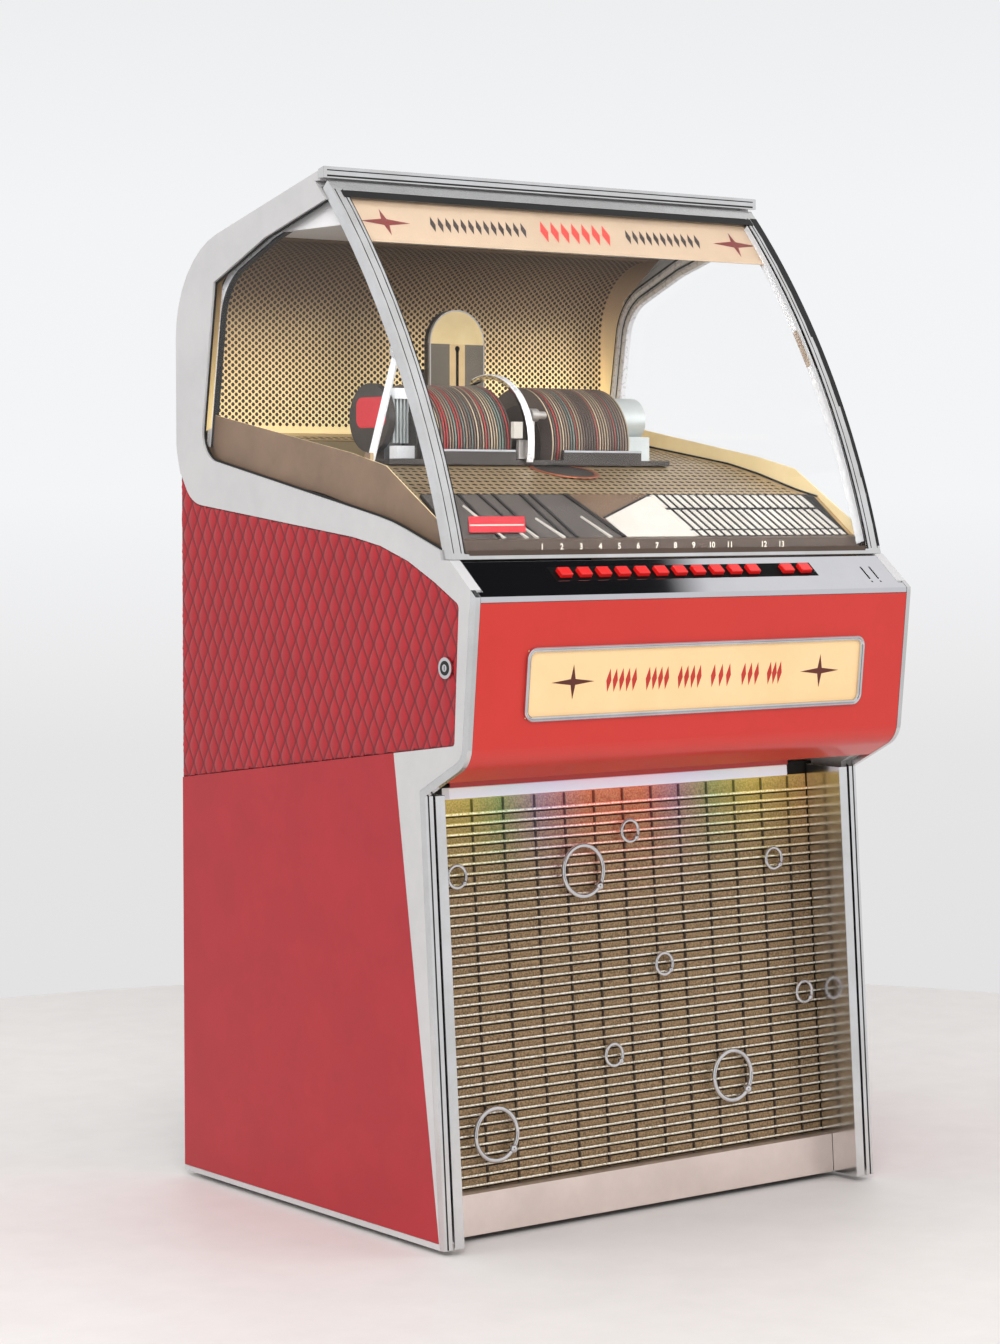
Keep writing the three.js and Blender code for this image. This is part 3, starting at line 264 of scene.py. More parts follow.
def mottled(tree: bpy.types.NodeTree, scale: float, low: float, high: float
            ) -> tuple[bpy.types.NodeSocket, bpy.types.NodeSocket]:
    """Returns a noise and a roughness that follows it.

    Args:
        tree: The node tree.
        scale: The noise's periods to the metre.
        low: The least roughness.
        high: The greatest roughness.

    Returns:
        The noise and the roughness.
    """
    place = add_node(tree, "ShaderNodeTexCoord")
    noise = add_node(tree, "ShaderNodeTexNoise", {"Vector": place.outputs["Object"], "Scale": scale})
    return noise.outputs["Fac"], ranged(tree, noise.outputs["Fac"], 0.0, 1.0, low, high)


def ramped(tree: bpy.types.NodeTree, value: bpy.types.NodeSocket, stops: Sequence[tuple[float, str]],
           stepped: bool = False) -> bpy.types.NodeSocket:
    """Returns the colour that a value picks from a ramp.

    Args:
        tree: The node tree.
        value: The value.
        stops: Places from 0 to 1 with their sRGB hex colours.
        stepped: True for plain steps between the colours.

    Returns:
        The colour.
    """
    ramp = add_node(tree, "ShaderNodeValToRGB", {"Fac": value})
    ramp.color_ramp.interpolation = "CONSTANT" if stepped else "LINEAR"
    elements = ramp.color_ramp.elements
    while len(elements) < len(stops):
        elements.new(0.5)
    for element, (place, code) in zip(elements, stops):
        element.position = place
        element.color = srgb(code)
    return ramp.outputs["Color"]


def add_object(name: str, data: bpy.types.ID) -> bpy.types.Object:
    """Adds an object to the scene."""
    made = bpy.data.objects.new(name, data)
    bpy.context.scene.collection.objects.link(made)
    return made


def as_mesh(bm: bmesh.types.BMesh, name: str) -> bpy.types.Mesh:
    """Turns a bmesh in the drawing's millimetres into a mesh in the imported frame, and frees it."""
    mesh = bpy.data.meshes.new(name)
    bm.to_mesh(mesh)
    bm.free()
    mesh.transform(DRAWING_TO_FRAME)
    return mesh


def new_material(name: str) -> tuple[bpy.types.Material, bpy.types.NodeTree, bpy.types.Node]:
    """Makes an empty node material.

    Args:
        name: The material's name.

    Returns:
        The material, its tree and its output node.
    """
    made = bpy.data.materials.new(name)
    made.use_nodes = True
    made.node_tree.nodes.clear()
    return made, made.node_tree, add_node(made.node_tree, "ShaderNodeOutputMaterial")


@lru_cache(maxsize=None)
def finish_material(finish: Finish) -> bpy.types.Material:
    """Makes a finish's material.

    Args:
        finish: The finish.

    Returns:
        The material.
    """
    made, tree, output = new_material(finish.name)
    tree.links.new(finish.surface(tree).outputs[0], output.inputs[0])
    return made


# Melamine laminate on board: hard and pale, with a faint sheen.
LAMINATE = Finish("white_laminate", "d2d0d0", "cac9c9", 0.0, 0.42, Grain.PEEL, 3.0, 0.05)
# Upholstery vinyl: soft gloss over a pressed leather grain.
VINYL = Finish("red_vinyl", "b2202a", "aa1d27", 0.0, 0.46, Grain.LEATHER, 1.6, 0.12, 0.05)
# Sprayed enamel: deep colour under a clear gloss with a faint orange peel.
ENAMEL = Finish("red_enamel", "d82c20", "d4291e", 0.0, 0.3, Grain.PEEL, 4.0, 0.02, 0.03, 0.35)
# Polished stainless steel: a mirror softened by fine wiping marks.
POLISHED = Finish("polished_steel", "dededf", "d2d1d0", 1.0, 0.16, Grain.BRUSHED_Z, 0.6, 0.004, 0.05)
# Polished steel plate of the controls: a clear mirror, wiped along X.
POLISHED_FLAT = Finish("polished_plate", "d2d2d6", "cdcdd2", 1.0, 0.03, Grain.BRUSHED_X, 2.0, 0.0, 0.01)
# Satin stainless steel: a straight brushed lay along the kick plate.
SATIN = Finish("satin_steel", "f0e0d8", "e6d6ce", 1.0, 0.36, Grain.BRUSHED_X, 0.8, 0.01, 0.08)
# Bright chrome plate: the clearest mirror on the cabinet.
CHROME = Finish("bright_chrome", "d9d8d9", "cccacc", 1.0, 0.05, Grain.FINE, 8.0, 0.0, 0.02)
# Bright-dipped aluminium: pale and soft, with hardly a mirror.
WINDOW_BRIGHT = Finish("bright_moulding", "f4f4f6", "e8e8ec", 0.2, 0.28, Grain.FINE, 8.0, 0.0, 0.04)
# Handled chrome plate: greyer and duller.
AGED_CHROME = Finish("aged_chrome", "b3aeaa", "a39e9a", 0.45, 0.34, Grain.FINE, 8.0, 0.0, 0.04)
# Black plating on the mechanism's steel: dark satin, which mirrors only softly.
BLACK_CHROME = Finish("black_chrome", "4a4542", "3f3a37", 0.3, 0.42, Grain.BRUSHED_X, 5.0, 0.0, 0.03)
# Printed cream acrylic, lit from behind: even and matt.
CREAM = Finish("cream_acrylic", "f6d3a0", "f4cd97", 0.0, 0.35, Grain.FINE, 9.0, 0.0, 0.03, glow=0.17)
# The header's cream acrylic, without a lamp behind it: duller and matt.
HEADER_CREAM = Finish("header_acrylic", "b8a087", "b29a81", 0.0, 0.4, Grain.FINE, 9.0, 0.0, 0.03)
# Gold anodised aluminium sheet: satin metal with a warm tone.
GOLD = Finish("gold_sheet", "cbb083", "bb9f71", 0.6, 0.4, Grain.FINE, 6.0, 0.0, 0.06)
# The deck's gold anodised sheet, dulled by wear: a greyer satin.
GOLD_DECK = Finish("gold_deck_sheet", "bda580", "ae9672", 0.6, 0.4, Grain.FINE, 6.0, 0.0, 0.06)
# Brown metallic paint on the outside of the deck's flanges: dull and warm.
GOLD_DARK = Finish("gold_flange", "836a55", "715a47", 0.35, 0.5, Grain.FINE, 5.0, 0.0, 0.06)
# Cream baked enamel on the inside of the flanges: pale, with a satin gloss.
CREAM_METAL = Finish("cream_flange", "f6e2b4", "eed8a6", 0.1, 0.42, Grain.FINE, 5.0, 0.0, 0.05)
# Perforation of the liner: the lit brown of the space behind it.
HOLE_WARM = Finish("lit_hole", "46382a", "3b2f23", 0.0, 0.8, Grain.FINE, 2.0, 0.0, 0.05)
# Painted shade: the dark behind perforations in other sheets and a slot, and under each grille rod.
PAINTED_SHADE = Finish("painted_shade_dark", "17120d", "0e0b08", 0.0, 0.9, Grain.FINE, 2.0, 0.0, 0.05)
# Extruded rubber strip: matt and nearly black; also painted shade in grooves, gaps, slots and creases.
RUBBER_AND_SHADE = Finish("black_rubber_and_shade", "161616", "1d1c1c", 0.0, 0.62, Grain.FINE, 1.5, 0.03, 0.08)
# Painted chipboard inside the cabinet: dead matt, with a coarse grain.
BLACK_BOARD = Finish("black_board", "1d1b1a", "262321", 0.0, 0.8, Grain.FINE, 2.5, 0.08, 0.08)
# Moulded black ABS: a low sheen over a fine spark texture.
BLACK_PLASTIC = Finish("black_abs", "161616", "1c1c1d", 0.0, 0.45, Grain.FINE, 0.8, 0.03, 0.06)
# Black acrylic round the keys, which hardly mirrors.
BLACK_GLOSS = Finish("black_gloss_abs", "0b0b0b", "0e0e0e", 0.0, 0.5, Grain.FINE, 0.8, 0.0, 0.04, ior=1.15)
# Moulded translucent acrylic keys: glossy, glowing red.
KEY_RED = Finish("red_acrylic", "e6201e", "de1c1a", 0.0, 0.2, Grain.PEEL, 3.0, 0.01, 0.03, 0.3, glow=0.12)
# Brown screen printing ink of the sign's stars: flat and matt.
INK_BROWN = Finish("brown_ink", "6a2f22", "5a261b", 0.0, 0.5, Grain.FINE, 8.0, 0.0, 0.05)
# Near-black ink of the header's small marks: flat and matt.
INK_DARK = Finish("dark_ink", "2b1c17", "241713", 0.0, 0.5, Grain.FINE, 8.0, 0.0, 0.05)
# Maroon ink of the header's stars: flat and deep.
INK_MAROON = Finish("maroon_ink", "6e160e", "62130c", 0.0, 0.5, Grain.FINE, 8.0, 0.0, 0.05)
# Red ink of the sign and the header: flat, with a trace of gloss.
INK_RED = Finish("red_ink", "cf3a30", "c63229", 0.0, 0.45, Grain.FINE, 8.0, 0.0, 0.05)
# Cream ink of the strip's numbers: flat and pale.
INK_CREAM = Finish("cream_ink", "f8f2e4", "efe8d6", 0.0, 0.5, Grain.FINE, 8.0, 0.0, 0.05)
# Baked white enamel of the stay and the rail's liner: even, under a clear gloss.
WHITE_ENAMEL = Finish("white_enamel", "e6e7e9", "dfe0e3", 0.0, 0.28, Grain.PEEL, 4.0, 0.02, 0.04, 0.2)
# Cast aluminium: grey metal with a soft, granular sheen.
CAST = Finish("cast_alloy", "b4b6b8", "a3a5a8", 0.9, 0.38, Grain.FINE, 2.5, 0.01, 0.1)
# Silver paint on the mechanism's right-hand end: pale, with a soft metal sheen.
SILVER = Finish("silver_paint", "cdd3d2", "c2c8c7", 0.35, 0.35, Grain.FINE, 5.0, 0.0, 0.06)
# White card stock of the title pages: matt and warm.
CARD = Finish("white_card", "ccc7bf", "c2bcb3", 0.0, 0.7, Grain.FINE, 8.0, 0.0, 0.04)
# Grey card of the leaves and of the records' cores: matt.
CARD_GREY = Finish("grey_card", "524b47", "48413d", 0.0, 0.6, Grain.FINE, 8.0, 0.0, 0.05)
# Painted shade between the title pages, in their folds and along an edge, and the dark of the title board:
# matt.
SHADOW_GREY = Finish("painted_page_shade", "1c1817", "161312", 0.0, 0.6, Grain.FINE, 8.0, 0.0, 0.05)
# Brown lacquered strip over the keys: a low even gloss.
STRIP_BROWN = Finish("brown_strip", "544236", "4a3a2f", 0.0, 0.42, Grain.FINE, 8.0, 0.0, 0.06)
# Pressed vinyl of the records' faces, painted grey for the sheen that black vinyl shows.
VINYL_BLACK = Finish("record_face", "5a514c", "655b55", 0.0, 0.3, Grain.FINE, 1.2, 0.01, 0.06)
# Bronze paint on the cast latch: warm and matt.
BRONZE = Finish("bronze_latch", "ad9d8f", "9f8f81", 0.0, 0.4, Grain.FINE, 4.0, 0.0, 0.06)
# Varnished gold print on the player's arch: warm, with a low gloss.
PLAYER_GOLD = Finish("player_gold", "e8d09a", "dcc18a", 0.2, 0.4, Grain.FINE, 6.0, 0.0, 0.05)
# Varnished olive print below it: dull, with the same low gloss.
OLIVE_FACE = Finish("player_olive", "6e6454", "5f5648", 0.2, 0.4, Grain.FINE, 6.0, 0.0, 0.05)
# Copper plated rim of the round cover: warm and satin.
COPPER = Finish("copper_rim", "b06a4a", "a05f42", 0.7, 0.35, Grain.FINE, 4.0, 0.0, 0.06)
# Red paper label under varnish: even colour with a low gloss.
LABEL_RED = Finish("red_label", "c8303a", "bb2a34", 0.0, 0.4, Grain.FINE, 8.0, 0.0, 0.04)

# Gold anodised sheet of the liner: warm satin metal, before the light of its own lamps.
LINER_GOLD = Finish("gold_liner_base", "ecd49e", "dfc48a", 0.5, 0.4, Grain.FINE, 6.0, 0.0, 0.06)
LINER_SHADE = ((0.0, "ffffff"), (0.4, "dcd4cc"), (0.7, "978a80"), (1.0, "5e544d"))
# What the machine's own lamps add to the sheet, from the deck up.
LINER_LIGHT = ((0.0, "cdb988"), (0.25, "ab9970"), (0.5, "857357"), (0.75, "5a4a39"), (1.0, "281c12"))
# The coloured lamps of the light bar, from left to right, and where they are in metres.
LAMP_TINTS = (
    (0.0, "e8c24a"), (0.12, "d8c93e"), (0.2, "6cb050"), (0.3, "a27ab8"), (0.42, "ff5a3c"),
    (0.56, "ff4f38"), (0.64, "b060a0"), (0.74, "7fa848"), (0.84, "e6d236"), (1.0, "d8a050"),
)
LAMP_REACH = 0.38
LAMP_Z = 0.634


@lru_cache(maxsize=None)
def glass_material() -> bpy.types.Material:
    """Clear coated glass that hardly mirrors, with a faint wipe texture in its gloss.

    Lamps reach what is behind it, because shadow rays pass straight through.
    """
    made, tree, output = new_material("clear_glass")
    rough = mottled(tree, 9.0, 0.0, 0.008)[1]
    clear = add_node(tree, "ShaderNodeBsdfPrincipled", {
        "Base Color": srgb("ffffff"), "Roughness": rough, "IOR": 1.15, "Transmission Weight": 1.0,
    })
    through = add_node(tree, "ShaderNodeBsdfTransparent")
    path = add_node(tree, "ShaderNodeLightPath")
    mix = add_node(tree, "ShaderNodeMixShader", {
        0: path.outputs["Is Shadow Ray"], 1: clear.outputs[0], 2: through.outputs[0],
    })
    tree.links.new(mix.outputs[0], output.inputs[0])
    return made


@lru_cache(maxsize=None)
def disc_material() -> bpy.types.Material:
    """Seven inch discs in their sleeves: each has its own edge colour, kept in "shade"."""
    made, tree, output = new_material("record_edges")
    shade = add_node(tree, "ShaderNodeAttribute", attribute_name="shade")
    colour = ramped(tree, shade.outputs["Fac"], [
        (0.0, "5c4f49"), (0.16, "93816f"), (0.27, "6e5d54"), (0.38, "a3947c"), (0.48, "65706a"),
        (0.58, "99544c"), (0.66, "bcac90"), (0.76, "7c6a5f"), (0.84, "b04240"), (0.92, "76877d"),
    ], stepped=True)
    height, rough = mottled(tree, 260.0, 0.3, 0.5)
    bump = add_node(tree, "ShaderNodeBump", {"Height": height, "Distance": 0.05 * MM})
    shader = add_node(tree, "ShaderNodeBsdfPrincipled", {
        "Base Color": colour, "Roughness": rough, "Normal": bump.outputs[0], "Specular IOR Level": 0.4,
    })
    tree.links.new(shader.outputs[0], output.inputs[0])
    return made


def blend_base(tree: bpy.types.NodeTree, shader: bpy.types.Node, share: object, colour: object,
               blend: str = "MIX") -> None:
    """Blends a colour over a shader's own.

    Args:
        tree: The node tree.
        shader: The shader.
        share: How much of the colour is used.
        colour: The colour.
        blend: How it is blended.
    """
    base = shader.inputs["Base Color"]
    tree.links.new(mixed(tree, share, base.links[0].from_socket, colour, blend), base)


@lru_cache(maxsize=None)
def quilt_material() -> bpy.types.Material:
    """Quilted vinyl: the finish above, darkened by painted shade in the valleys along the welded seams."""
    made, tree, output = new_material("quilted_vinyl")
    shader = VINYL.surface(tree)
    seam = add_node(tree, "ShaderNodeAttribute", attribute_name="seam")
    blend_base(tree, shader, seam.outputs["Fac"], srgb("6a141e"))
    tree.links.new(shader.outputs[0], output.inputs[0])
    return made


@lru_cache(maxsize=None)
def liner_material() -> bpy.types.Material:
    """Gold anodised sheet in the machine's own light, which fades upward to the header box."""
    made, tree, output = new_material("gold_liner_sheet")
    shader = LINER_GOLD.surface(tree)
    up = on_axis(tree, "Z", 1.16, 1.45)
    blend_base(tree, shader, 1.0, ramped(tree, up, LINER_SHADE), "MULTIPLY")
    tree.links.new(ramped(tree, up, LINER_LIGHT), shader.inputs["Emission Color"])
    # The lamps stand to the right, so the right half is the lighter one.
    tree.links.new(on_axis(tree, "X", -0.25, 0.2, 1.0, 1.5), shader.inputs["Emission Strength"])
    tree.links.new(shader.outputs[0], output.inputs[0])
    return made


@lru_cache(maxsize=None)
def lamp_lit_material(name: str, colour: str, metallic: float, rough: float, glow: float,
                      reach_mm: float) -> bpy.types.Material:
    """Grille metal under the coloured lamps of the light bar.

    Args:
        name: The material's name.
        colour: The metal's sRGB hex colour.
        metallic: 1 for bare metal.
        rough: Its roughness.
        glow: How strongly the lamps tint it at the top.
        reach_mm: How far down the tint reaches.

    Returns:
        The material.
    """
    made, tree, output = new_material(name)
    down = on_axis(tree, "Z", LAMP_Z - reach_mm * MM, LAMP_Z)
    noise, roughness = mottled(tree, 420.0, rough - 0.06, rough + 0.08)
    speck = ranged(tree, noise, 0.35, 0.65, 0.5, 1.35)
    shader = add_node(tree, "ShaderNodeBsdfPrincipled", {
        "Base Color": mixed(tree, 1.0, srgb(colour), speck, "MULTIPLY"),
        "Metallic": metallic, "Roughness": roughness,
        "Emission Color": ramped(tree, on_axis(tree, "X", -LAMP_REACH, LAMP_REACH), LAMP_TINTS),
        "Emission Strength": compute(tree, "MULTIPLY", compute(tree, "POWER", down, 2.6), glow),
    })
    tree.links.new(shader.outputs[0], output.inputs[0])
    return made


@lru_cache(maxsize=None)
def light_bar_material() -> bpy.types.Material:
    """Opal acrylic with lamps behind it: white, with the lamps' tints along its upper edge."""
    made, tree, output = new_material("opal_acrylic")
    tints = ramped(tree, on_axis(tree, "X", -LAMP_REACH, LAMP_REACH), LAMP_TINTS)
    shader = add_node(tree, "ShaderNodeBsdfPrincipled", {
        "Base Color": srgb("c9c6cc"), "Roughness": mottled(tree, 30.0, 0.3, 0.5)[1],
        "Emission Color": mixed(tree, on_axis(tree, "Z", 0.629, 0.646, 0.08, 0.4), srgb("eceaff"), tints),
        "Emission Strength": 0.5,
    })
    tree.links.new(shader.outputs[0], output.inputs[0])
    return made


def rounded(corners: Sequence[Sequence[float]], closed: bool = True, step: float = 5.0) -> list[Point2]:
    """Rounds the corners of a flat outline.

    Args:
        corners: Points, each with an optional corner radius as its third number.
        closed: False keeps the two ends of an open line sharp.
        step: The largest turn between points of an arc, in degrees.

    Returns:
        The outline's points.
    """
    points: list[Point2] = []
    for index, corner in enumerate(corners):
        at = Vector(corner[:2])
        if (not closed and index in (0, len(corners) - 1)) or len(corner) < 3 or not corner[2]:
            points.append(tuple(at))
            continue
        arriving = (at - Vector(corners[index - 1][:2])).normalized()
        leaving = (Vector(corners[(index + 1) % len(corners)][:2]) - at).normalized()
        turn = math.atan2(arriving.cross(leaving), arriving.dot(leaving))
        start = at - arriving * corner[2] * math.tan(abs(turn) / 2)
        side = 1 if turn > 0 else -1
        centre = start + Vector((-arriving.y, arriving.x)) * side * corner[2]
        count = max(2, math.ceil(abs(math.degrees(turn)) / step))
        for k in range(count + 1):
            spoke = Matrix.Rotation(turn * k / count, 2) @ (start - centre)
            points.append(tuple(centre + spoke))
    return points


def oblong(left: float, low: float, right: float, high: float) -> list[Point2]:
    """Returns a rectangle's corners, from the lower left one round."""
    return [(left, low), (right, low), (right, high), (left, high)]


def circle(radius: float, count: int, x: float, z: float) -> list[Point2]:
    """Returns a circle's points."""
    turns = [math.tau * k / count for k in range(count)]
    return [(x + radius * math.cos(t), z + radius * math.sin(t)) for t in turns]


def slanting(foot: Point2, top: Point2, half_foot: float, half_top: float) -> list[Point2]:
    """Returns a slim strip from one point to a higher one, with its half widths there."""
    return [(foot[0] - half_foot, foot[1]), (foot[0] + half_foot, foot[1]),
            (top[0] + half_top, top[1]), (top[0] - half_top, top[1])]


class Mould:
    """Collects closed shapes in one mesh, in the drawing's millimetres."""

    def __init__(self, place: Matrix | None = None) -> None:
        """Starts an empty mould.

        Args:
            place: Where its own coordinates lie in the drawing.
        """
        self.bm = bmesh.new()
        self.place = place or Matrix.Identity(4)
        self.slot = 0

    def _face(self, verts: Sequence[bmesh.types.BMVert]) -> None:
        """Adds one face in the current material slot."""
        face = self.bm.faces.new(verts)
        face.material_index = self.slot

    def loft(self, rings: Sequence[Sequence[Vector]], capped: bool = True, looped: bool = False) -> "Mould":
        """Joins rings of equal counts by quads.

        Args:
            rings: The rings in order, each a closed loop of points.
            capped: True closes both ends.
            looped: True joins the last ring to the first.

        Returns:
            The mould.
        """
        made = [[self.bm.verts.new(self.place @ Vector(p)) for p in ring] for ring in rings]
        count = len(made[0])
        pairs = list(zip(made, made[1:])) + ([(made[-1], made[0])] if looped else [])
        for low, high in pairs:
            for k in range(count):
                self._face((low[k], low[(k + 1) % count], high[(k + 1) % count], high[k]))
        if capped and not looped:
            self._face(list(reversed(made[0])))
            self._face(made[-1])
        return self

    def prism(self, outline: Sequence[Point2], start: float, end: float, axis: str) -> "Mould":
        """Extrudes an outline along an axis.

        Args:
            outline: Points (y, z) for X, (x, z) for Y and (x, y) for Z.
            start: Where the prism starts.
            end: Where it ends.
            axis: "X", "Y" or "Z".

        Returns:
            The mould.
        """
        lift = {
            "X": lambda u, v, w: Vector((w, u, v)),
            "Y": lambda u, v, w: Vector((u, w, v)),
            "Z": lambda u, v, w: Vector((u, v, w)),
        }[axis]
        return self.loft([[lift(u, v, w) for u, v in outline] for w in (start, end)])

    def box(self, low: Point3, high: Point3) -> "Mould":
        """Adds a block between two corners."""
        return self.prism(oblong(low[0], low[1], high[0], high[1]), low[2], high[2], "Z")

    def puck(self, radius: float, low: float, high: float, centre: Point3, axis: Vector,
             sides: int) -> "Mould":
        """Adds a solid disc between two heights along an axis."""
        return self.turned([(0, low), (radius, low), (radius, high), (0, high)], centre, axis, sides)

    def turned(self, profile: Sequence[Point2], centre: Point3, axis: Vector, sides: int = 48,
               looped: bool = False) -> "Mould":
        """Turns a profile about an axis.

        Args:
            profile: Points (radius, height along the axis). Ends of radius 0 close on the axis.
            centre: A point of the axis.
            axis: The axis direction.
            sides: How many sides the turned shape has.
            looped: True for a closed profile that doesn't reach the axis.

        Returns:
            The mould.
        """
        across = axis.orthogonal().normalized()
        spin = [Matrix.Rotation(math.tau * k / sides, 3, axis) @ across for k in range(sides)]
        base = Vector(centre)
        rings = []
        for radius, height in profile:
            arms = [arm * radius for arm in spin] if radius > 0 else [Vector()]
            rings.append([self.bm.verts.new(self.place @ (base + axis * height + arm)) for arm in arms])
        pairs = list(zip(rings, rings[1:])) + ([(rings[-1], rings[0])] if looped else [])
        for low, high in pairs:
            for k in range(sides):
                n = (k + 1) % sides
                corners = [low[k % len(low)], low[n % len(low)], high[n % len(high)], high[k % len(high)]]
                self._face(list(dict.fromkeys(corners)))
        return self

    def sweep(self, section: Sequence[Point2], path: Sequence[Point3], across: Vector,
              closed: bool = False) -> "Mould":
        """Carries a section along a flat path.

        Args:
            section: Points (along across, outward) round the path.
            path: The path's points.
            across: The direction square to the path's plane.
            closed: True for a path that closes on itself.

        Returns:
            The mould.
        """
        points = [Vector(p) for p in path]
        count = len(points)
        rings = []
        for index, point in enumerate(points):
            before = points[index - 1] if closed or index else point
            after = points[(index + 1) % count] if closed or index < count - 1 else point
            one = (point - before).normalized() if point != before else (after - point).normalized()
            two = (after - point).normalized() if point != after else one
            tangent = (one + two).normalized()
            outward = across.cross(tangent).normalized()
            stretch = 1 / max(0.3, tangent.dot(one))
            rings.append([point + across * a + outward * b * stretch for a, b in section])
        return self.loft(rings, capped=not closed, looped=closed)

    def lattice(self, columns: Sequence[float], rows: Sequence[float], holes: set[tuple[int, int]],
                low: float, high: float) -> "Mould":
        """Builds a flat plate with rectangular openings.

        Args:
            columns: The places of the lines across X.
            rows: The places of the lines across Y.
            holes: The (column, row) cells left open.
            low: The underside.
            high: The upper side.

        Returns:
            The mould.
        """
        made: dict[tuple[int, int, int], bmesh.types.BMVert] = {}

        def corner(i: int, j: int, k: int) -> bmesh.types.BMVert:
            """Returns the shared vertex at a crossing of lines."""
            if (i, j, k) not in made:
                at = Vector((columns[i], rows[j], high if k else low))
                made[i, j, k] = self.bm.verts.new(self.place @ at)
            return made[i, j, k]

        solid = {
            (i, j) for i in range(len(columns) - 1) for j in range(len(rows) - 1)
        } - holes
        for i, j in solid:
            self._face([corner(i, j, 1), corner(i + 1, j, 1), corner(i + 1, j + 1, 1), corner(i, j + 1, 1)])
            self._face([corner(i, j + 1, 0), corner(i + 1, j + 1, 0), corner(i + 1, j, 0), corner(i, j, 0)])
            sides = {(-1, 0): ((i, j + 1), (i, j)), (1, 0): ((i + 1, j), (i + 1, j + 1)),
                     (0, -1): ((i, j), (i + 1, j)), (0, 1): ((i + 1, j + 1), (i, j + 1))}
            for (di, dj), (a, b) in sides.items():
                if (i + di, j + dj) not in solid:
                    self._face([corner(*a, 0), corner(*b, 0), corner(*b, 1), corner(*a, 1)])
        return self

    def piece(self, name: str, finishes: Sequence[Finish | bpy.types.Material], body: str = "cabinet",
              **looks: object) -> bpy.types.Object:
        """Turns what was collected into a piece that rides on a body.

        Args:
            name: The piece's name.
            finishes: The finish of each material slot.
            body: The body that it rides on.
            **looks: Its bevel, smooth, replaces, slot and segments, as for dress.

        Returns:
            The piece.
        """
        bmesh.ops.recalc_face_normals(self.bm, faces=self.bm.faces)
        return dress(name, as_mesh(self.bm, name), finishes, body, **looks)


def dress(name: str, mesh: bpy.types.Mesh, finishes: Sequence[Finish | bpy.types.Material], body: str,
          bevel: float = 0.0, smooth: float = 40.0, replaces: Sequence[str] = (), slot: str = "",
          segments: int = 2) -> bpy.types.Object:
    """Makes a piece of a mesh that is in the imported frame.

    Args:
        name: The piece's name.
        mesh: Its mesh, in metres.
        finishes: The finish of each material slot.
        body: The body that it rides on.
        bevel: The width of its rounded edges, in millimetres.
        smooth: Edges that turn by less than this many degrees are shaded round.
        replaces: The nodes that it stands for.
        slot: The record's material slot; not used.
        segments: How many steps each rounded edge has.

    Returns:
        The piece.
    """
    for index, finish in enumerate(finishes):
        material = finish.material() if isinstance(finish, Finish) else finish
        if index < len(mesh.materials):
            mesh.materials[index] = material
        else:
            mesh.materials.append(material)
    mesh.shade_smooth()
    mesh.set_sharp_from_angle(angle=math.radians(smooth))
    made = add_object(name, mesh)
    if bevel:
        edge = made.modifiers.new("rounded_edges", "BEVEL")
        edge.width = bevel * MM
        edge.segments = segments
        edge.limit_method = "ANGLE"
        edge.angle_limit = math.radians(32)
        edge.harden_normals = True
    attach(made, body)
    if replaces:
        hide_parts(*replaces)
    LOG.info("piece %s on %s", name, body)
    return made


def refined(node: str, name: str, finishes: Sequence[Finish | bpy.types.Material], body: str = "cabinet",
            choose: Callable[[Vector, Vector], int] | None = None, **looks: object) -> bpy.types.Object:
    """Makes a smooth copy of a node with rounded edges, and shows it in the node's place.

    Args:
        node: The node.
        name: The copy's name.
        finishes: Its finishes.
        body: The body that it rides on.
        choose: Gives the finish's number from a face's middle in the drawing and its normal.
        **looks: Its bevel (0.6 unless given), smooth (32), slot and segments, as for dress.

    Returns:
        The piece.
    """
    bm = bmesh.new()
    bm.from_mesh(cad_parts[node].data)
    bmesh.ops.remove_doubles(bm, verts=bm.verts, dist=2e-6)
    bmesh.ops.dissolve_limit(bm, angle_limit=math.radians(0.6), verts=bm.verts, edges=bm.edges)
    # A large face round an opening is kept in triangles, so that its rounded edge stays flat.
    wide = [face for face in bm.faces if len(face.verts) > 12]
    bmesh.ops.triangulate(bm, faces=wide, ngon_method="BEAUTY")
    bm.verts.index_update()
    mesh = bpy.data.meshes.new(name)
    mesh.from_pydata([v.co for v in bm.verts], [], [[v.index for v in f.verts] for f in bm.faces])
    bm.free()
    if choose:
        back = DRAWING_TO_FRAME.inverted()
        for polygon in mesh.polygons:
            polygon.material_index = choose(back @ polygon.center, polygon.normal)
    return dress(name, mesh, finishes, body, replaces=[node], **({"bevel": 0.6, "smooth": 32.0} | looks))


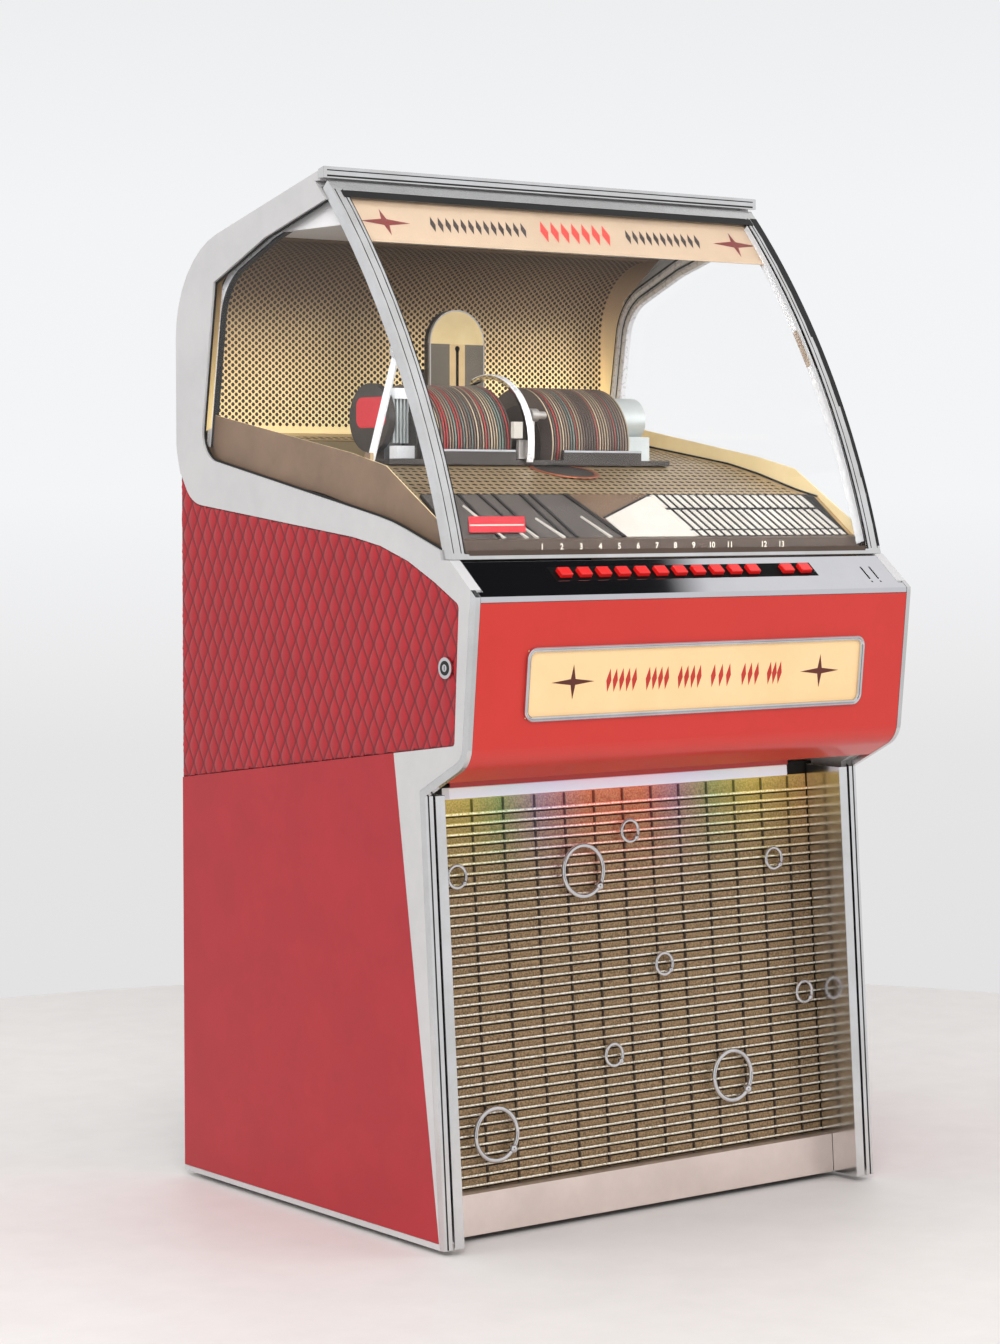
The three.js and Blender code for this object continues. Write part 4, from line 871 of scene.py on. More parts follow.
class Growth:
    """A Geometry Nodes tree that repeats a small shape, turned into a plain mesh."""

    def __init__(self, name: str, numbers: dict[str, float | int]) -> None:
        """Starts a tree with named inputs.

        Args:
            name: The tree's name.
            numbers: Its inputs with their values. Whole numbers become counts.
        """
        self.name = name
        self.tree = bpy.data.node_groups.new(name, "GeometryNodeTree")
        self.tree.interface.new_socket("Geometry", in_out="OUTPUT", socket_type="NodeSocketGeometry")
        self.values: dict[str, object] = {}
        for title, value in numbers.items():
            kind = "NodeSocketInt" if isinstance(value, int) else "NodeSocketFloat"
            socket = self.tree.interface.new_socket(title, in_out="INPUT", socket_type=kind)
            self.values[socket.identifier] = value
        socket = self.tree.interface.new_socket("Finish", in_out="INPUT", socket_type="NodeSocketMaterial")
        self.finish_key = socket.identifier
        self.entry = add_node(self.tree, "NodeGroupInput")

    def value(self, title: str) -> bpy.types.NodeSocket:
        """Returns the output that carries a named input."""
        return self.entry.outputs[title]

    def product(self, one: object, two: object) -> bpy.types.NodeSocket:
        """Returns the product of two numbers."""
        return compute(self.tree, "MULTIPLY", one, two)

    def vector(self, x: object = 0.0, y: object = 0.0, z: object = 0.0) -> bpy.types.NodeSocket:
        """Returns a vector of three numbers."""
        return add_node(self.tree, "ShaderNodeCombineXYZ", {0: x, 1: y, 2: z}).outputs[0]

    def row(self, count: object, offset: bpy.types.NodeSocket, start: bpy.types.NodeSocket | Point3
            ) -> bpy.types.NodeSocket:
        """Returns a straight row of points."""
        return add_node(self.tree, "GeometryNodeMeshLine", {
            "Count": count, "Start Location": start, "Offset": offset,
        }).outputs[0]

    def grown(self, points: bpy.types.NodeSocket, shape: bpy.types.NodeSocket, finish: bpy.types.Material,
              turn: Point3 = (0.0, 0.0, 0.0), shade_seed: int | None = None) -> bpy.types.Mesh:
        """Puts the shape on every point and returns the plain mesh.

        Args:
            points: Where the shapes go.
            shape: The repeated shape.
            finish: Its material.
            turn: How each shape is turned, in radians.
            shade_seed: The seed of a random "shade" for each shape.

        Returns:
            The mesh, in the drawing's millimetres.
        """
        tree = self.tree
        spread = add_node(tree, "GeometryNodeInstanceOnPoints", {
            "Points": points, "Instance": shape, "Rotation": turn,
        }).outputs[0]
        if shade_seed is not None:
            draw = add_node(tree, "FunctionNodeRandomValue", {"Seed": shade_seed}, data_type="FLOAT")
            spread = add_node(tree, "GeometryNodeStoreNamedAttribute", {
                "Geometry": spread, "Name": "shade", "Value": draw.outputs[1],
            }, data_type="FLOAT", domain="INSTANCE").outputs[0]
        real = add_node(tree, "GeometryNodeRealizeInstances", {0: spread}).outputs[0]
        painted = add_node(tree, "GeometryNodeSetMaterial", {
            "Geometry": real, "Material": self.entry.outputs["Finish"],
        }).outputs[0]
        add_node(tree, "NodeGroupOutput", {0: painted})
        host = add_object(self.name, bpy.data.meshes.new(self.name))
        modifier = host.modifiers.new("growth", "NODES")
        modifier.node_group = tree
        for key, value in self.values.items():
            modifier[key] = value
        modifier[self.finish_key] = finish
        evaluated = host.evaluated_get(bpy.context.evaluated_depsgraph_get())
        mesh = bpy.data.meshes.new_from_object(evaluated)
        bpy.data.objects.remove(host)
        return mesh


def rods(name: str, finish: bpy.types.Material, count: int, pitch: Vector, start: Vector, length: float,
         radius: float, sides: int = 10, shade_seed: int | None = None) -> bpy.types.Mesh:
    """Grows a row of equal rods that lie along X.

    Args:
        name: The tree's name.
        finish: The rods' material.
        count: How many rods.
        pitch: The step from one to the next.
        start: The middle of the first.
        length: Their length.
        radius: Their radius.
        sides: How many sides each has.
        shade_seed: The seed of a random shade for each.

    Returns:
        The mesh.
    """
    growth = Growth(name, {
        "Count": count, "Pitch X": pitch.x, "Pitch Y": pitch.y, "Pitch Z": pitch.z,
        "Length": length, "Radius": radius, "Sides": sides,
    })
    step = growth.vector(growth.value("Pitch X"), growth.value("Pitch Y"), growth.value("Pitch Z"))
    points = growth.row(growth.value("Count"), step, tuple(start))
    rod = add_node(growth.tree, "GeometryNodeMeshCylinder", {
        "Vertices": growth.value("Sides"), "Radius": growth.value("Radius"),
        "Depth": growth.value("Length"),
    }, fill_type="NGON").outputs[0]
    return growth.grown(points, rod, finish, (0.0, math.pi / 2, 0.0), shade_seed)


def placed(mesh: bpy.types.Mesh, matrix: Matrix | None = None) -> bpy.types.Mesh:
    """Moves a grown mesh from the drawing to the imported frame."""
    mesh.transform(DRAWING_TO_FRAME @ (matrix or Matrix.Identity(4)))
    return mesh


HOLE_SIDES = 6


def dot_field(name: str, columns: int, rows: int, pitch_x: float, pitch_y: float, radius: float
              ) -> bpy.types.Mesh:
    """Grows a staggered field of small flat discs.

    Args:
        name: The tree's name.
        columns: How many discs in a row.
        rows: How many pairs of rows.
        pitch_x: The step along a row.
        pitch_y: The step between rows of a pair's kind.
        radius: Each disc's radius.

    Returns:
        The mesh, flat in XY about its first disc.
    """
    growth = Growth(name, {
        "Columns": columns, "Rows": rows, "Pitch X": pitch_x, "Pitch Y": pitch_y,
        "Radius": radius, "Sides": HOLE_SIDES,
    })
    tree = growth.tree
    first = growth.row(growth.value("Columns"), growth.vector(growth.value("Pitch X")), (0.0, 0.0, 0.0))
    shift = growth.vector(
        growth.product(growth.value("Pitch X"), 0.5), growth.product(growth.value("Pitch Y"), 0.5)
    )
    second = add_node(tree, "GeometryNodeTransform", {"Geometry": first, "Translation": shift}).outputs[0]
    pair = add_node(tree, "GeometryNodeJoinGeometry")
    tree.links.new(first, pair.inputs[0])
    tree.links.new(second, pair.inputs[0])
    up = growth.row(
        growth.value("Rows"), growth.vector(0.0, growth.value("Pitch Y")), (0.0, 0.0, 0.0)
    )
    many = add_node(tree, "GeometryNodeInstanceOnPoints", {"Points": up, "Instance": pair.outputs[0]})
    points = add_node(tree, "GeometryNodeRealizeInstances", {0: many.outputs[0]}).outputs[0]
    disc = add_node(tree, "GeometryNodeMeshCircle", {
        "Vertices": growth.value("Sides"), "Radius": growth.value("Radius"),
    }, fill_type="NGON").outputs[0]
    return growth.grown(points, disc, PAINTED_SHADE.material())


def perforated(name: str, field_mesh: bpy.types.Mesh, keep: Callable[[float, float], bool],
               wrap: Callable[[float, float], tuple[Vector, Vector, Vector]]) -> bpy.types.Mesh:
    """Lays a field of discs on a sheet.

    Args:
        name: The mesh's name.
        field_mesh: The flat field.
        keep: Tells whether a disc centred at (u, v) is on the sheet.
        wrap: Gives the place of (u, v) and the directions of u and v there.

    Returns:
        The mesh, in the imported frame.
    """
    bm = bmesh.new()
    flat = [v.co.copy() for v in field_mesh.vertices]
    for first in range(0, len(flat), HOLE_SIDES):
        corners = flat[first : first + HOLE_SIDES]
        centre = sum(corners, Vector()) / HOLE_SIDES
        if not keep(centre.x, centre.y):
            continue
        place, across, up = wrap(centre.x, centre.y)
        verts = [bm.verts.new(place + across * (c.x - centre.x) + up * (c.y - centre.y)) for c in corners]
        bm.faces.new(verts)
    return as_mesh(bm, name)


def star(centre: Point2, half_wide: float, half_high: float, waist: float = 0.17) -> list[Point2]:
    """Returns a four-pointed star with drawn-in sides.

    Args:
        centre: Its middle.
        half_wide: From the middle to a side point.
        half_high: From the middle to the top point.
        waist: How wide its waist is, as a share of half_high.

    Returns:
        The outline's points.
    """
    inner = half_high * waist
    tips = [(half_wide, 0.0), (inner, inner), (0.0, half_high), (-inner, inner),
            (-half_wide, 0.0), (-inner, -inner), (0.0, -half_high), (inner, -inner)]
    return [(centre[0] + u, centre[1] + v) for u, v in tips]


def lozenge(centre: Point2, half_wide: float, half_high: float, lean: float = 0.0) -> list[Point2]:
    """Returns a slim lozenge, leaning to the right by lean times its height."""
    x, z = centre
    return [(x + half_wide, z), (x + lean * half_high, z + half_high), (x - half_wide, z),
            (x - lean * half_high, z - half_high)]


def arc_centre(foot: Point2, head: Point2, radius: float) -> Vector:
    """Returns the centre, behind two points, of the arc through them."""
    low, high = Vector(foot), Vector(head)
    middle, chord = (low + high) / 2, high - low
    square = Vector((chord.y, -chord.x)).normalized()
    return middle + square * math.sqrt(radius**2 - (chord.length / 2) ** 2)


SCREEN_RADIUS = 1315.0
SCREEN_CENTRE = arc_centre((-12.0, 973.0), (288.0, 1516.0), SCREEN_RADIUS)


def screen_y(z: float, inset: float = 0.0) -> float:
    """Returns how far back the windscreen's face is at a height.

    Args:
        z: The height.
        inset: How far inside the outer face.

    Returns:
        The depth in the drawing.
    """
    radius = SCREEN_RADIUS - inset
    return SCREEN_CENTRE.x - math.sqrt(radius**2 - (z - SCREEN_CENTRE.y) ** 2)


def screen_path(low: float, high: float, x: float, inset: float, count: int = 40) -> list[Point3]:
    """Returns points up the windscreen's curve at one X."""
    heights = [low + (high - low) * k / count for k in range(count + 1)]
    return [(x, screen_y(z, inset), z) for z in heights]


WINDOW_EDGE = rounded([
    (screen_y(986.0, 18.5), 986.0), (127.0, 1025.7, 500.0), (628.6, 1121.5, 45.0), (588.0, 1385.0),
    (446.0, 1444.0), (screen_y(1488.0, 18.5), 1488.0),
], closed=False, step=3.0)


class Light(Enum):
    """Studio lamps: place in metres, size in metres and power in watts."""

    KEY = ((-3.4, -4.2, 3.6), 2.6, 145.0)
    FILL = ((3.6, -3.6, 2.2), 2.8, 60.0)
    TOP = ((0.0, 0.2, 4.6), 3.4, 70.0)
    LEFT = ((-4.2, 0.8, 3.4), 2.4, 55.0)


@dataclass
class Studio:
    """Floor, background, lamps and camera."""

    floor_radius: float = 2100.0
    camera_place: Point3 = (-2.993, -3.790, 1.0595)
    camera_turn: Point3 = (math.pi / 2 - 0.0556487, 0.0, -0.655699)
    lens: float = 84.1
    # From straight below to straight above.
    surround: tuple[tuple[float, str], ...] = (
        (0.0, "c9c6c6"), (0.46, "e6e5e6"), (0.5, "f4f5f7"), (0.545, "f3f4f6"),
        (0.58, "edeeef"), (0.871, "fdfdfd"), (0.8724, "202022"), (0.95, "161618"),
    )
    # Two dark screens beside the set give the chrome its dark lines.
    screens: tuple[tuple[float, str], ...] = (
        (0.2, "ffffff"), (0.215, "26262a"), (0.255, "26262a"), (0.27, "ffffff"),
        (0.44, "ffffff"), (0.455, "303034"), (0.505, "303034"), (0.52, "ffffff"),
    )

    def build(self) -> None:
        """Builds the whole studio."""
        self.floor()
        self.background()
        for lamp in Light:
            self.lamp(lamp)
        self.camera()

    def floor(self) -> None:
        """Lays a round pale floor under the object."""
        disc = Mould().turned([(0.0, -0.6), (self.floor_radius, -0.6)], (0.0, AXIS_DEPTH, 0.0), AXIS_Z, 96)
        mesh = as_mesh(disc.bm, "studio_floor")
        # Pale sealed studio floor, rolled matt paint.
        paint = Finish("studio_floor_paint", "e9e5e3", "e5e1df", 0.0, 0.55, Grain.PEEL, 6.0, 0.03)
        mesh.materials.append(paint.material())
        add_object("studio_floor", mesh)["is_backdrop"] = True

    def background(self) -> None:
        """Sets a white surround that bright surfaces mirror, darker overhead, and its even light."""
        world = bpy.data.worlds.new("studio")
        bpy.context.scene.world = world
        world.use_nodes = True
        tree = world.node_tree
        tree.nodes.clear()
        place = add_node(tree, "ShaderNodeTexCoord").outputs["Generated"]
        split = add_node(tree, "ShaderNodeSeparateXYZ", {0: place}).outputs
        # The dark ceiling starts behind the set, so that the rails still mirror the white part.
        behind = ranged(tree, split["Y"], 0.0, 0.03, 0.87, 1.0)
        height = compute(tree, "MINIMUM", ranged(tree, split["Z"], -1.0, 1.0), behind)
        turn = ranged(tree, compute(tree, "ARCTAN2", split["Y"], split["X"]), -math.pi, math.pi)
        path = add_node(tree, "ShaderNodeLightPath").outputs
        low = compute(tree, "LESS_THAN", split["Z"], 0.5)
        screened = compute(tree, "MULTIPLY", low, path["Is Glossy Ray"])
        surround = mixed(tree, screened, ramped(tree, height, self.surround),
                         ramped(tree, turn, self.screens), "MULTIPLY")
        straight = compute(tree, "MAXIMUM", path["Is Camera Ray"], path["Is Transmission Ray"])
        seen = compute(tree, "MAXIMUM", straight, path["Is Glossy Ray"])
        even = add_node(tree, "ShaderNodeBackground", {"Color": srgb("ffffff"), "Strength": 0.5})
        white = add_node(tree, "ShaderNodeBackground", {"Color": surround, "Strength": 1.0})
        mix = add_node(tree, "ShaderNodeMixShader", {0: seen, 1: even.outputs[0], 2: white.outputs[0]})
        add_node(tree, "ShaderNodeOutputWorld", {0: mix.outputs[0]})

    def lamp(self, lamp: Light) -> None:
        """Hangs one square soft lamp that faces the object's middle."""
        place, size, power = lamp.value
        data = bpy.data.lights.new(f"lamp_{lamp.name.lower()}", "AREA")
        data.size = size
        data.energy = power
        made = add_object(data.name, data)
        made.location = place
        made.rotation_euler = (Vector((0, 0, 0.8)) - Vector(place)).to_track_quat("-Z", "Y").to_euler()
        made.visible_glossy = False
        made.visible_camera = False

    def camera(self) -> None:
        """Sets the camera where the photograph was taken from."""
        data = bpy.data.cameras.new("photo_camera")
        data.lens = self.lens
        made = add_object("photo_camera", data)
        made.location = self.camera_place
        made.rotation_euler = self.camera_turn
        bpy.context.scene.camera = made
        bpy.context.scene.view_settings.view_transform = "Standard"


@dataclass
class QuiltedPanel:
    """One quilted vinyl side panel: real pillows between welded seams."""

    side: str
    across: float = 0.0352
    up: float = 0.02
    low: float = 413.2
    rise: float = 2.2
    face_from: float = 414.5
    seam_reach: float = 2.6
    skirt: float = 0.15
    steps: tuple[float, ...] = (0.0, 0.12, 0.3, 0.5, 0.7, 0.88)

    def pillow(self, y: float, z: float) -> float:
        """Returns the pillow height at a point, from 0 on a seam to 1 at its crown."""
        u, v = self.across * y + self.up * z, self.across * y - self.up * z
        return abs(math.sin(math.pi * u) * math.sin(math.pi * v)) ** 0.55

    def build(self) -> None:
        """Cuts the panel's face along the seams, raises the pillows and closes the back."""
        sign = SIGNS[self.side]
        node = f"quilt_panel_{self.side}"
        bm = bmesh.new()
        bm.from_mesh(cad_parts[node].data)
        bm.transform(DRAWING_TO_FRAME.inverted())
        rest = [f for f in bm.faces
                if f.normal.x * sign < 0.9 or abs(f.calc_center_median().x) < self.face_from]
        bmesh.ops.delete(bm, geom=rest, context="FACES")
        bmesh.ops.remove_doubles(bm, verts=bm.verts, dist=0.01)
        bmesh.ops.dissolve_limit(bm, angle_limit=0.02, verts=bm.verts, edges=bm.edges)
        for direction in (1.0, -1.0):
            normal = Vector((0.0, self.across, direction * self.up))
            values = [normal.dot(v.co) for v in bm.verts]
            for whole in range(math.floor(min(values)), math.ceil(max(values)) + 1):
                for share in self.steps:
                    geometry = bm.verts[:] + bm.edges[:] + bm.faces[:]
                    at = normal * ((whole + share) / normal.length_squared)
                    bmesh.ops.bisect_plane(bm, geom=geometry, dist=1e-4, plane_co=at, plane_no=normal)
        seam = bm.verts.layers.float.new("seam")
        for vert in bm.verts:
            height = 0.0 if vert.is_boundary else self.pillow(vert.co.y, vert.co.z)
            # Painted shade: darkest on a seam, gone part way up each pillow.
            vert[seam] = max(0.0, 1.0 - height * self.seam_reach)
            vert.co.x = sign * (self.low + self.rise * height)
        edges = [e for e in bm.edges if e.is_boundary]
        walls = bmesh.ops.extrude_edge_only(bm, edges=edges)["geom"]
        for vert in (v for v in walls if isinstance(v, bmesh.types.BMVert)):
            vert.co.x = sign * (self.low - self.skirt)
        bmesh.ops.recalc_face_normals(bm, faces=bm.faces)
        if sum(f.normal.x for f in bm.faces) * sign < 0:
            bmesh.ops.reverse_faces(bm, faces=bm.faces)
        name = f"quilted_side_{self.side}"
        made = dress(name, as_mesh(bm, name), [quilt_material()], "cabinet", smooth=60.0, replaces=[node],
                     slot="red_vinyl")


@dataclass
class Sides:
    """Side boards with their panels, edge strips and lock."""

    lock_centre: Point3 = (-418.3, -5.0, 824.0)
    groove_x: float = 409.0
    groove_line: tuple[Point2, ...] = ((-0.1, 9.0), (45.9, 642.0), (-41.5, 715.4), (-70.6, 905.0))
    gasket_x: float = 410.2
    moulding_x: float = 391.0
    moulding_line: tuple[tuple[float, ...], ...] = (
        (626.0, 1136.0), (588.0, 1385.0, 95.0), (446.0, 1444.0, 70.0), (330.0, 1478.0),
    )

    def build(self) -> None:
        """Builds both sides, and the lock in the left one."""
        for side in SIGNS:
            refined(f"side_board_{side}", f"laminated_side_{side}", [LAMINATE], bevel=0.8,
                    slot="white_laminate")
            refined(f"lower_panel_{side}", f"vinyl_side_{side}", [VINYL], bevel=0.5, slot="red_vinyl")
            refined(f"edge_trim_{side}", f"steel_edge_{side}", [POLISHED], bevel=0.8, smooth=36.0,
                    slot="polished_steel")
            refined(f"leg_channel_{side}", f"steel_leg_{side}", [POLISHED], slot="polished_steel")
            QuiltedPanel(side).build()
            refined(f"side_window_{side}", f"side_glass_{side}", [glass_material()], bevel=0.0,
                    slot="clear_glass")
            self.gasket(side)
            self.window_trim(side)
            self.edge_groove(side)
        refined("side_lock", "side_lock_barrel", [CHROME], "lock", bevel=0.7, slot="ring_chrome")
        self.lock_face()

    def lock_face(self) -> None:
        """Lays a dark face with a bright core on the lock's barrel, and a key slot as a slit of painted
        shade.
        """
        x, y, z = self.lock_centre
        face = Mould().puck(10.2, -0.4, 0.3, self.lock_centre, AXIS_X, 40)
        face.slot = 1
        face.puck(5.2, -0.6, 0.2, self.lock_centre, AXIS_X, 32)
        face.slot = 0
        face.box((x - 0.68, y - 0.7, z - 3.2), (x - 0.5, y + 0.7, z + 3.2))
        face.piece("lock_face", [RUBBER_AND_SHADE, CHROME], "lock", smooth=50.0)

    def edge_groove(self, side: str) -> None:
        """Marks the groove in the front of the edge strip with a black strip of painted shade."""
        path = [(SIGNS[side] * self.groove_x, y, z) for y, z in self.groove_line]
        mould = Mould().sweep(oblong(-1.0, -0.3, 1.0, 0.4), path, AXIS_X)
        mould.piece(f"edge_groove_{side}", [RUBBER_AND_SHADE])

    def gasket(self, side: str) -> None:
        """Lays a rubber strip round the side window, outside its pane."""
        path = [(SIGNS[side] * self.gasket_x, y, z) for y, z in WINDOW_EDGE]
        mould = Mould().sweep(oblong(-0.9, -0.3, 0.9, 3.2), path, AXIS_X)
        mould.piece(f"window_gasket_{side}", [RUBBER_AND_SHADE], smooth=35.0)

    def window_trim(self, side: str) -> None:
        """Runs a double bright moulding round the back and top of the window, inside the cabinet."""
        across = AXIS_X * SIGNS[side]
        bend = rounded(self.moulding_line, closed=False, step=6.0)
        path = [(SIGNS[side] * self.moulding_x, y, z) for y, z in bend]
        mould = Mould()
        for low, high, face in ((0.5, 12.5, 5.0), (16.0, 27.0, 5.4)):
            mould.sweep(oblong(-5.0, low, 5.0, high) + [(-face - 2, (low + high) / 2)], path, across)
        # Black strips of painted shade in the gaps beside and between the mouldings.
        mould.slot = 1
        for low, high in ((-3.5, 0.5), (12.5, 16.0)):
            mould.sweep(oblong(-4.0, low, 5.0, high), path, across)
        mould.piece(f"window_moulding_{side}", [WINDOW_BRIGHT, RUBBER_AND_SHADE], bevel=0.8, smooth=50.0)


@dataclass
class Grille:
    """Speaker grille: rods and wires over a perforated sheet, with soldered rings."""

    rod_pitch: float = 14.42
    rod_radius: float = 1.9
    rod_y: float = 74.2
    bottom: float = 61.0
    top: float = 626.0
    sheet_y: float = 77.0
    back_y: float = 79.0
    wires: tuple[float, ...] = (-333, -277, -220, -162, -106, -50, 5, 61, 116, 172, 228, 284, 340)
    small: tuple[Point2, ...] = ((10, 560), (297, 499), (66, 356), (349, 287), (-39, 230), (-315, 515))
    large: dict[str, Point2] = field(default_factory=lambda: {
        "ring_upper": (-84, 507), "ring_lower_left": (-266, 140), "ring_lower_right": (191, 174),
    })
    # Depth, radius, the wire's radius and the bead's radius.
    small_ring: tuple[float, ...] = (68.0, 16.0, 2.6, 4.5)
    large_ring: tuple[float, ...] = (65.7, 37.5, 3.5, 7.0)
    bead_turn: float = math.radians(-40)
    stem_end: float = 72.9

    def heights(self) -> list[float]:
        """Returns the height of each rod's middle."""
        count = int((self.top - self.bottom - 10) / self.rod_pitch)
        return [self.bottom + 9.0 + k * self.rod_pitch for k in range(count)]

    def build(self) -> None:
        """Builds the sheet, rods, wires and rings."""
        gold = lamp_lit_material("grille_gold", "9a7f5e", 0.5, 0.45, 0.42, 170.0)
        bright = lamp_lit_material("grille_rods", "fff4e0", 0.9, 0.22, 0.6, 260.0)
        dark = lamp_lit_material("grille_wires", "4a3f36", 0.8, 0.3, 0.12, 160.0)
        sheet = Mould(LEANING)
        sheet.box((-BETWEEN_LEGS, self.sheet_y, self.bottom), (BETWEEN_LEGS, self.back_y, self.top))
        sheet.piece("grille_sheet", [gold], replaces=["grille_panel"], slot="grille_metal")
        heights = self.heights()
        rows = rods("grille_rod_row", bright, len(heights), Vector((0, 0, self.rod_pitch)),
                    Vector((0.0, self.rod_y, heights[0])), 2 * BETWEEN_LEGS - 1, self.rod_radius)
        dress("grille_rods", placed(rows, LEANING), [bright], "cabinet", smooth=50.0, slot="grille_metal")
        uprights = Mould(LEANING)
        for x in self.wires:
            uprights.box((x - 1.5, self.rod_y + 0.9, self.bottom + 2), (x + 1.5, self.sheet_y, self.top - 2))
        uprights.piece("grille_uprights", [dark], slot="grille_metal")
        self.shadows()
        for node, (x, z) in self.large.items():
            mould = Mould(LEANING)
            self.ring(mould, x, z, *self.large_ring)
            mould.piece(f"{node}_chrome", [CHROME], smooth=60.0, replaces=[node], slot="ring_chrome")
        mould = Mould(LEANING)
        for x, z in self.small:
            self.ring(mould, x, z, *self.small_ring)
        mould.piece("grille_small_rings", [CHROME], smooth=60.0, slot="ring_chrome")

    def shadows(self) -> None:
        """Paints a dark shadow strip on the sheet under each rod."""
        mould = Mould(LEANING)
        for z in self.heights():
            mould.box((-BETWEEN_LEGS + 1, self.sheet_y - 0.15, z - 4.7),
                      (BETWEEN_LEGS - 1, self.sheet_y + 0.3, z - 2.7))
        mould.piece("grille_rod_shadows", [PAINTED_SHADE])

    def ring(self, mould: Mould, x: float, z: float, y: float, radius: float, wire: float,
             bead: float) -> None:
        """Adds a ring with a bead at its lower right and the bead's stem.

        Args:
            mould: Where it is added.
            x: The ring's middle.
            z: The ring's middle.
            y: The ring's depth.
            radius: From its middle to the wire's middle.
            wire: The wire's radius.
            bead: The bead's radius.
        """
        mould.turned(circle(wire, 16, radius, 0.0), (x, y, z), AXIS_Y, 96, looped=True)
        centre = (x + radius * math.cos(self.bead_turn), y, z + radius * math.sin(self.bead_turn))
        ball = [(bead * math.sin(t), -bead * math.cos(t)) for t in (math.pi * k / 16 for k in range(17))]
        ball[0], ball[-1] = (0.0, -bead), (0.0, bead)
        mould.turned(ball, centre, AXIS_Y, 28)
        mould.puck(bead / 2, 0, self.stem_end - y, centre, AXIS_Y, 20)


@dataclass
class Front:
    """Kick plate, light bar, enamelled shell and the sign."""

    star_x: float = 236.0
    star_half: Point2 = (39.0, 25.0)
    mark_half: Point2 = (4.6, 17.0)
    mark_step: float = 13.0
    clusters: tuple[Point2, ...] = ((-177, -118), (-104, -58), (-44, 4), (18, 62), (78, 116), (130, 160))

    def build(self) -> None:
        """Builds the front below the keys."""
        refined("kick_plate", "brushed_kick_plate", [SATIN], slot="satin_steel")
        refined("light_bar", "opal_light_bar", [light_bar_material()], bevel=1.2, slot="light_bar")
        refined("front_shell", "enamelled_front", [ENAMEL], bevel=0.4, smooth=36.0, slot="red_paint")
        flange = Mould().box((-327, 105.5, 644.6), (327, 107.0, 654.0))
        flange.piece("front_shell_return", [ENAMEL], bevel=0.4, slot="red_paint")
        self.bezel()
        self.sign()

    def bezel(self) -> None:
        """Runs a double-rounded chrome moulding round the sign."""
        outline = rounded([(-322, -52, 16), (322, -52, 16), (322, 52, 16), (-322, 52, 16)], step=6.0)
        section = [(-5.3, -2.2), (-5.3, -0.9), (-4.2, -0.3), (-4.2, 0.0), (-0.3, 0.0), (-0.3, -7.0),
                   (-2.6, -7.0), (-4.6, -5.6), (-5.0, -4.4), (-4.0, -3.2), (-4.2, -2.9)]
        mould = Mould(SIGN_FACE)
        mould.sweep(section, [(x, 0.0, z) for x, z in outline], AXIS_Y, closed=True)
        mould.piece("chrome_sign_bezel", [CHROME], smooth=40.0, replaces=["sign_bezel"], slot="ring_chrome")

    def sign(self) -> None:
        """Prints two stars and a row of lozenges on the cream sign."""
        refined("sign_panel", "cream_sign", [CREAM], bevel=0.3, slot="sign_cream")
        mould = Mould(SIGN_FACE)
        for x in (-self.star_x, self.star_x):
            mould.prism(star((x, 1.0), *self.star_half), -0.15, 0.1, "Y")
        mould.slot = 1
        for start, end in self.clusters:
            count = max(3, round((end - start) / self.mark_step))
            for k in range(count):
                at = start + (end - start) * (k + 0.5) / count
                mould.prism(lozenge((at, 1.0), *self.mark_half, 0.12), -0.15, 0.1, "Y")
        mould.piece("sign_print", [INK_BROWN, INK_RED])


@dataclass
class Controls:
    """Folded control plate with its keys."""

    keys: tuple[float, ...] = tuple(-234.0 + 35.5 * k for k in range(11)) + (189.0, 224.5)
    key_half: float = 10.5
    key_rows: Point2 = (37.0, 53.0)
    key_top: float = 6.8
    gap: float = 0.3
    surround: tuple[Point2, Point2] = ((-256.0, 31.0), (246.0, 60.0))

    def build(self) -> None:
        """Builds the plate, the black key surround and the keys."""
        refined("control_plate", "polished_controls", [POLISHED_FLAT], bevel=0.5, smooth=30.0,
                slot="polished_steel")
        (left, foot), (right, head) = self.surround
        low, high = self.key_rows
        half = self.key_half + self.gap
        columns = [left, *(x + side for x in self.keys for side in (-half, half)), right]
        holes = {(2 * k + 1, 1) for k in range(len(self.keys))}
        rows = [foot, low - self.gap, high + self.gap, head]
        strip = Mould(ON_SLOPE).lattice(columns, rows, holes, 0.0, 0.35)
        strip.piece("key_surround", [BLACK_GLOSS])
        for number, x in enumerate(self.keys, start=1):
            mould = Mould(ON_SLOPE).box((x - self.key_half, low, -3), (x + self.key_half, high, self.key_top))
            mould.piece(f"push_key_{number:02d}", [KEY_RED], f"key_{number:02d}_body", bevel=1.4, smooth=60.0,
                        replaces=[f"key_{number:02d}"], slot="key_red", segments=3)


def header_front(z: float) -> float:
    """Returns the depth of the header strip's face at a height."""
    rise = z - 1425.0
    return 222.4 + rise * (0.78 + 0.00071 * rise)


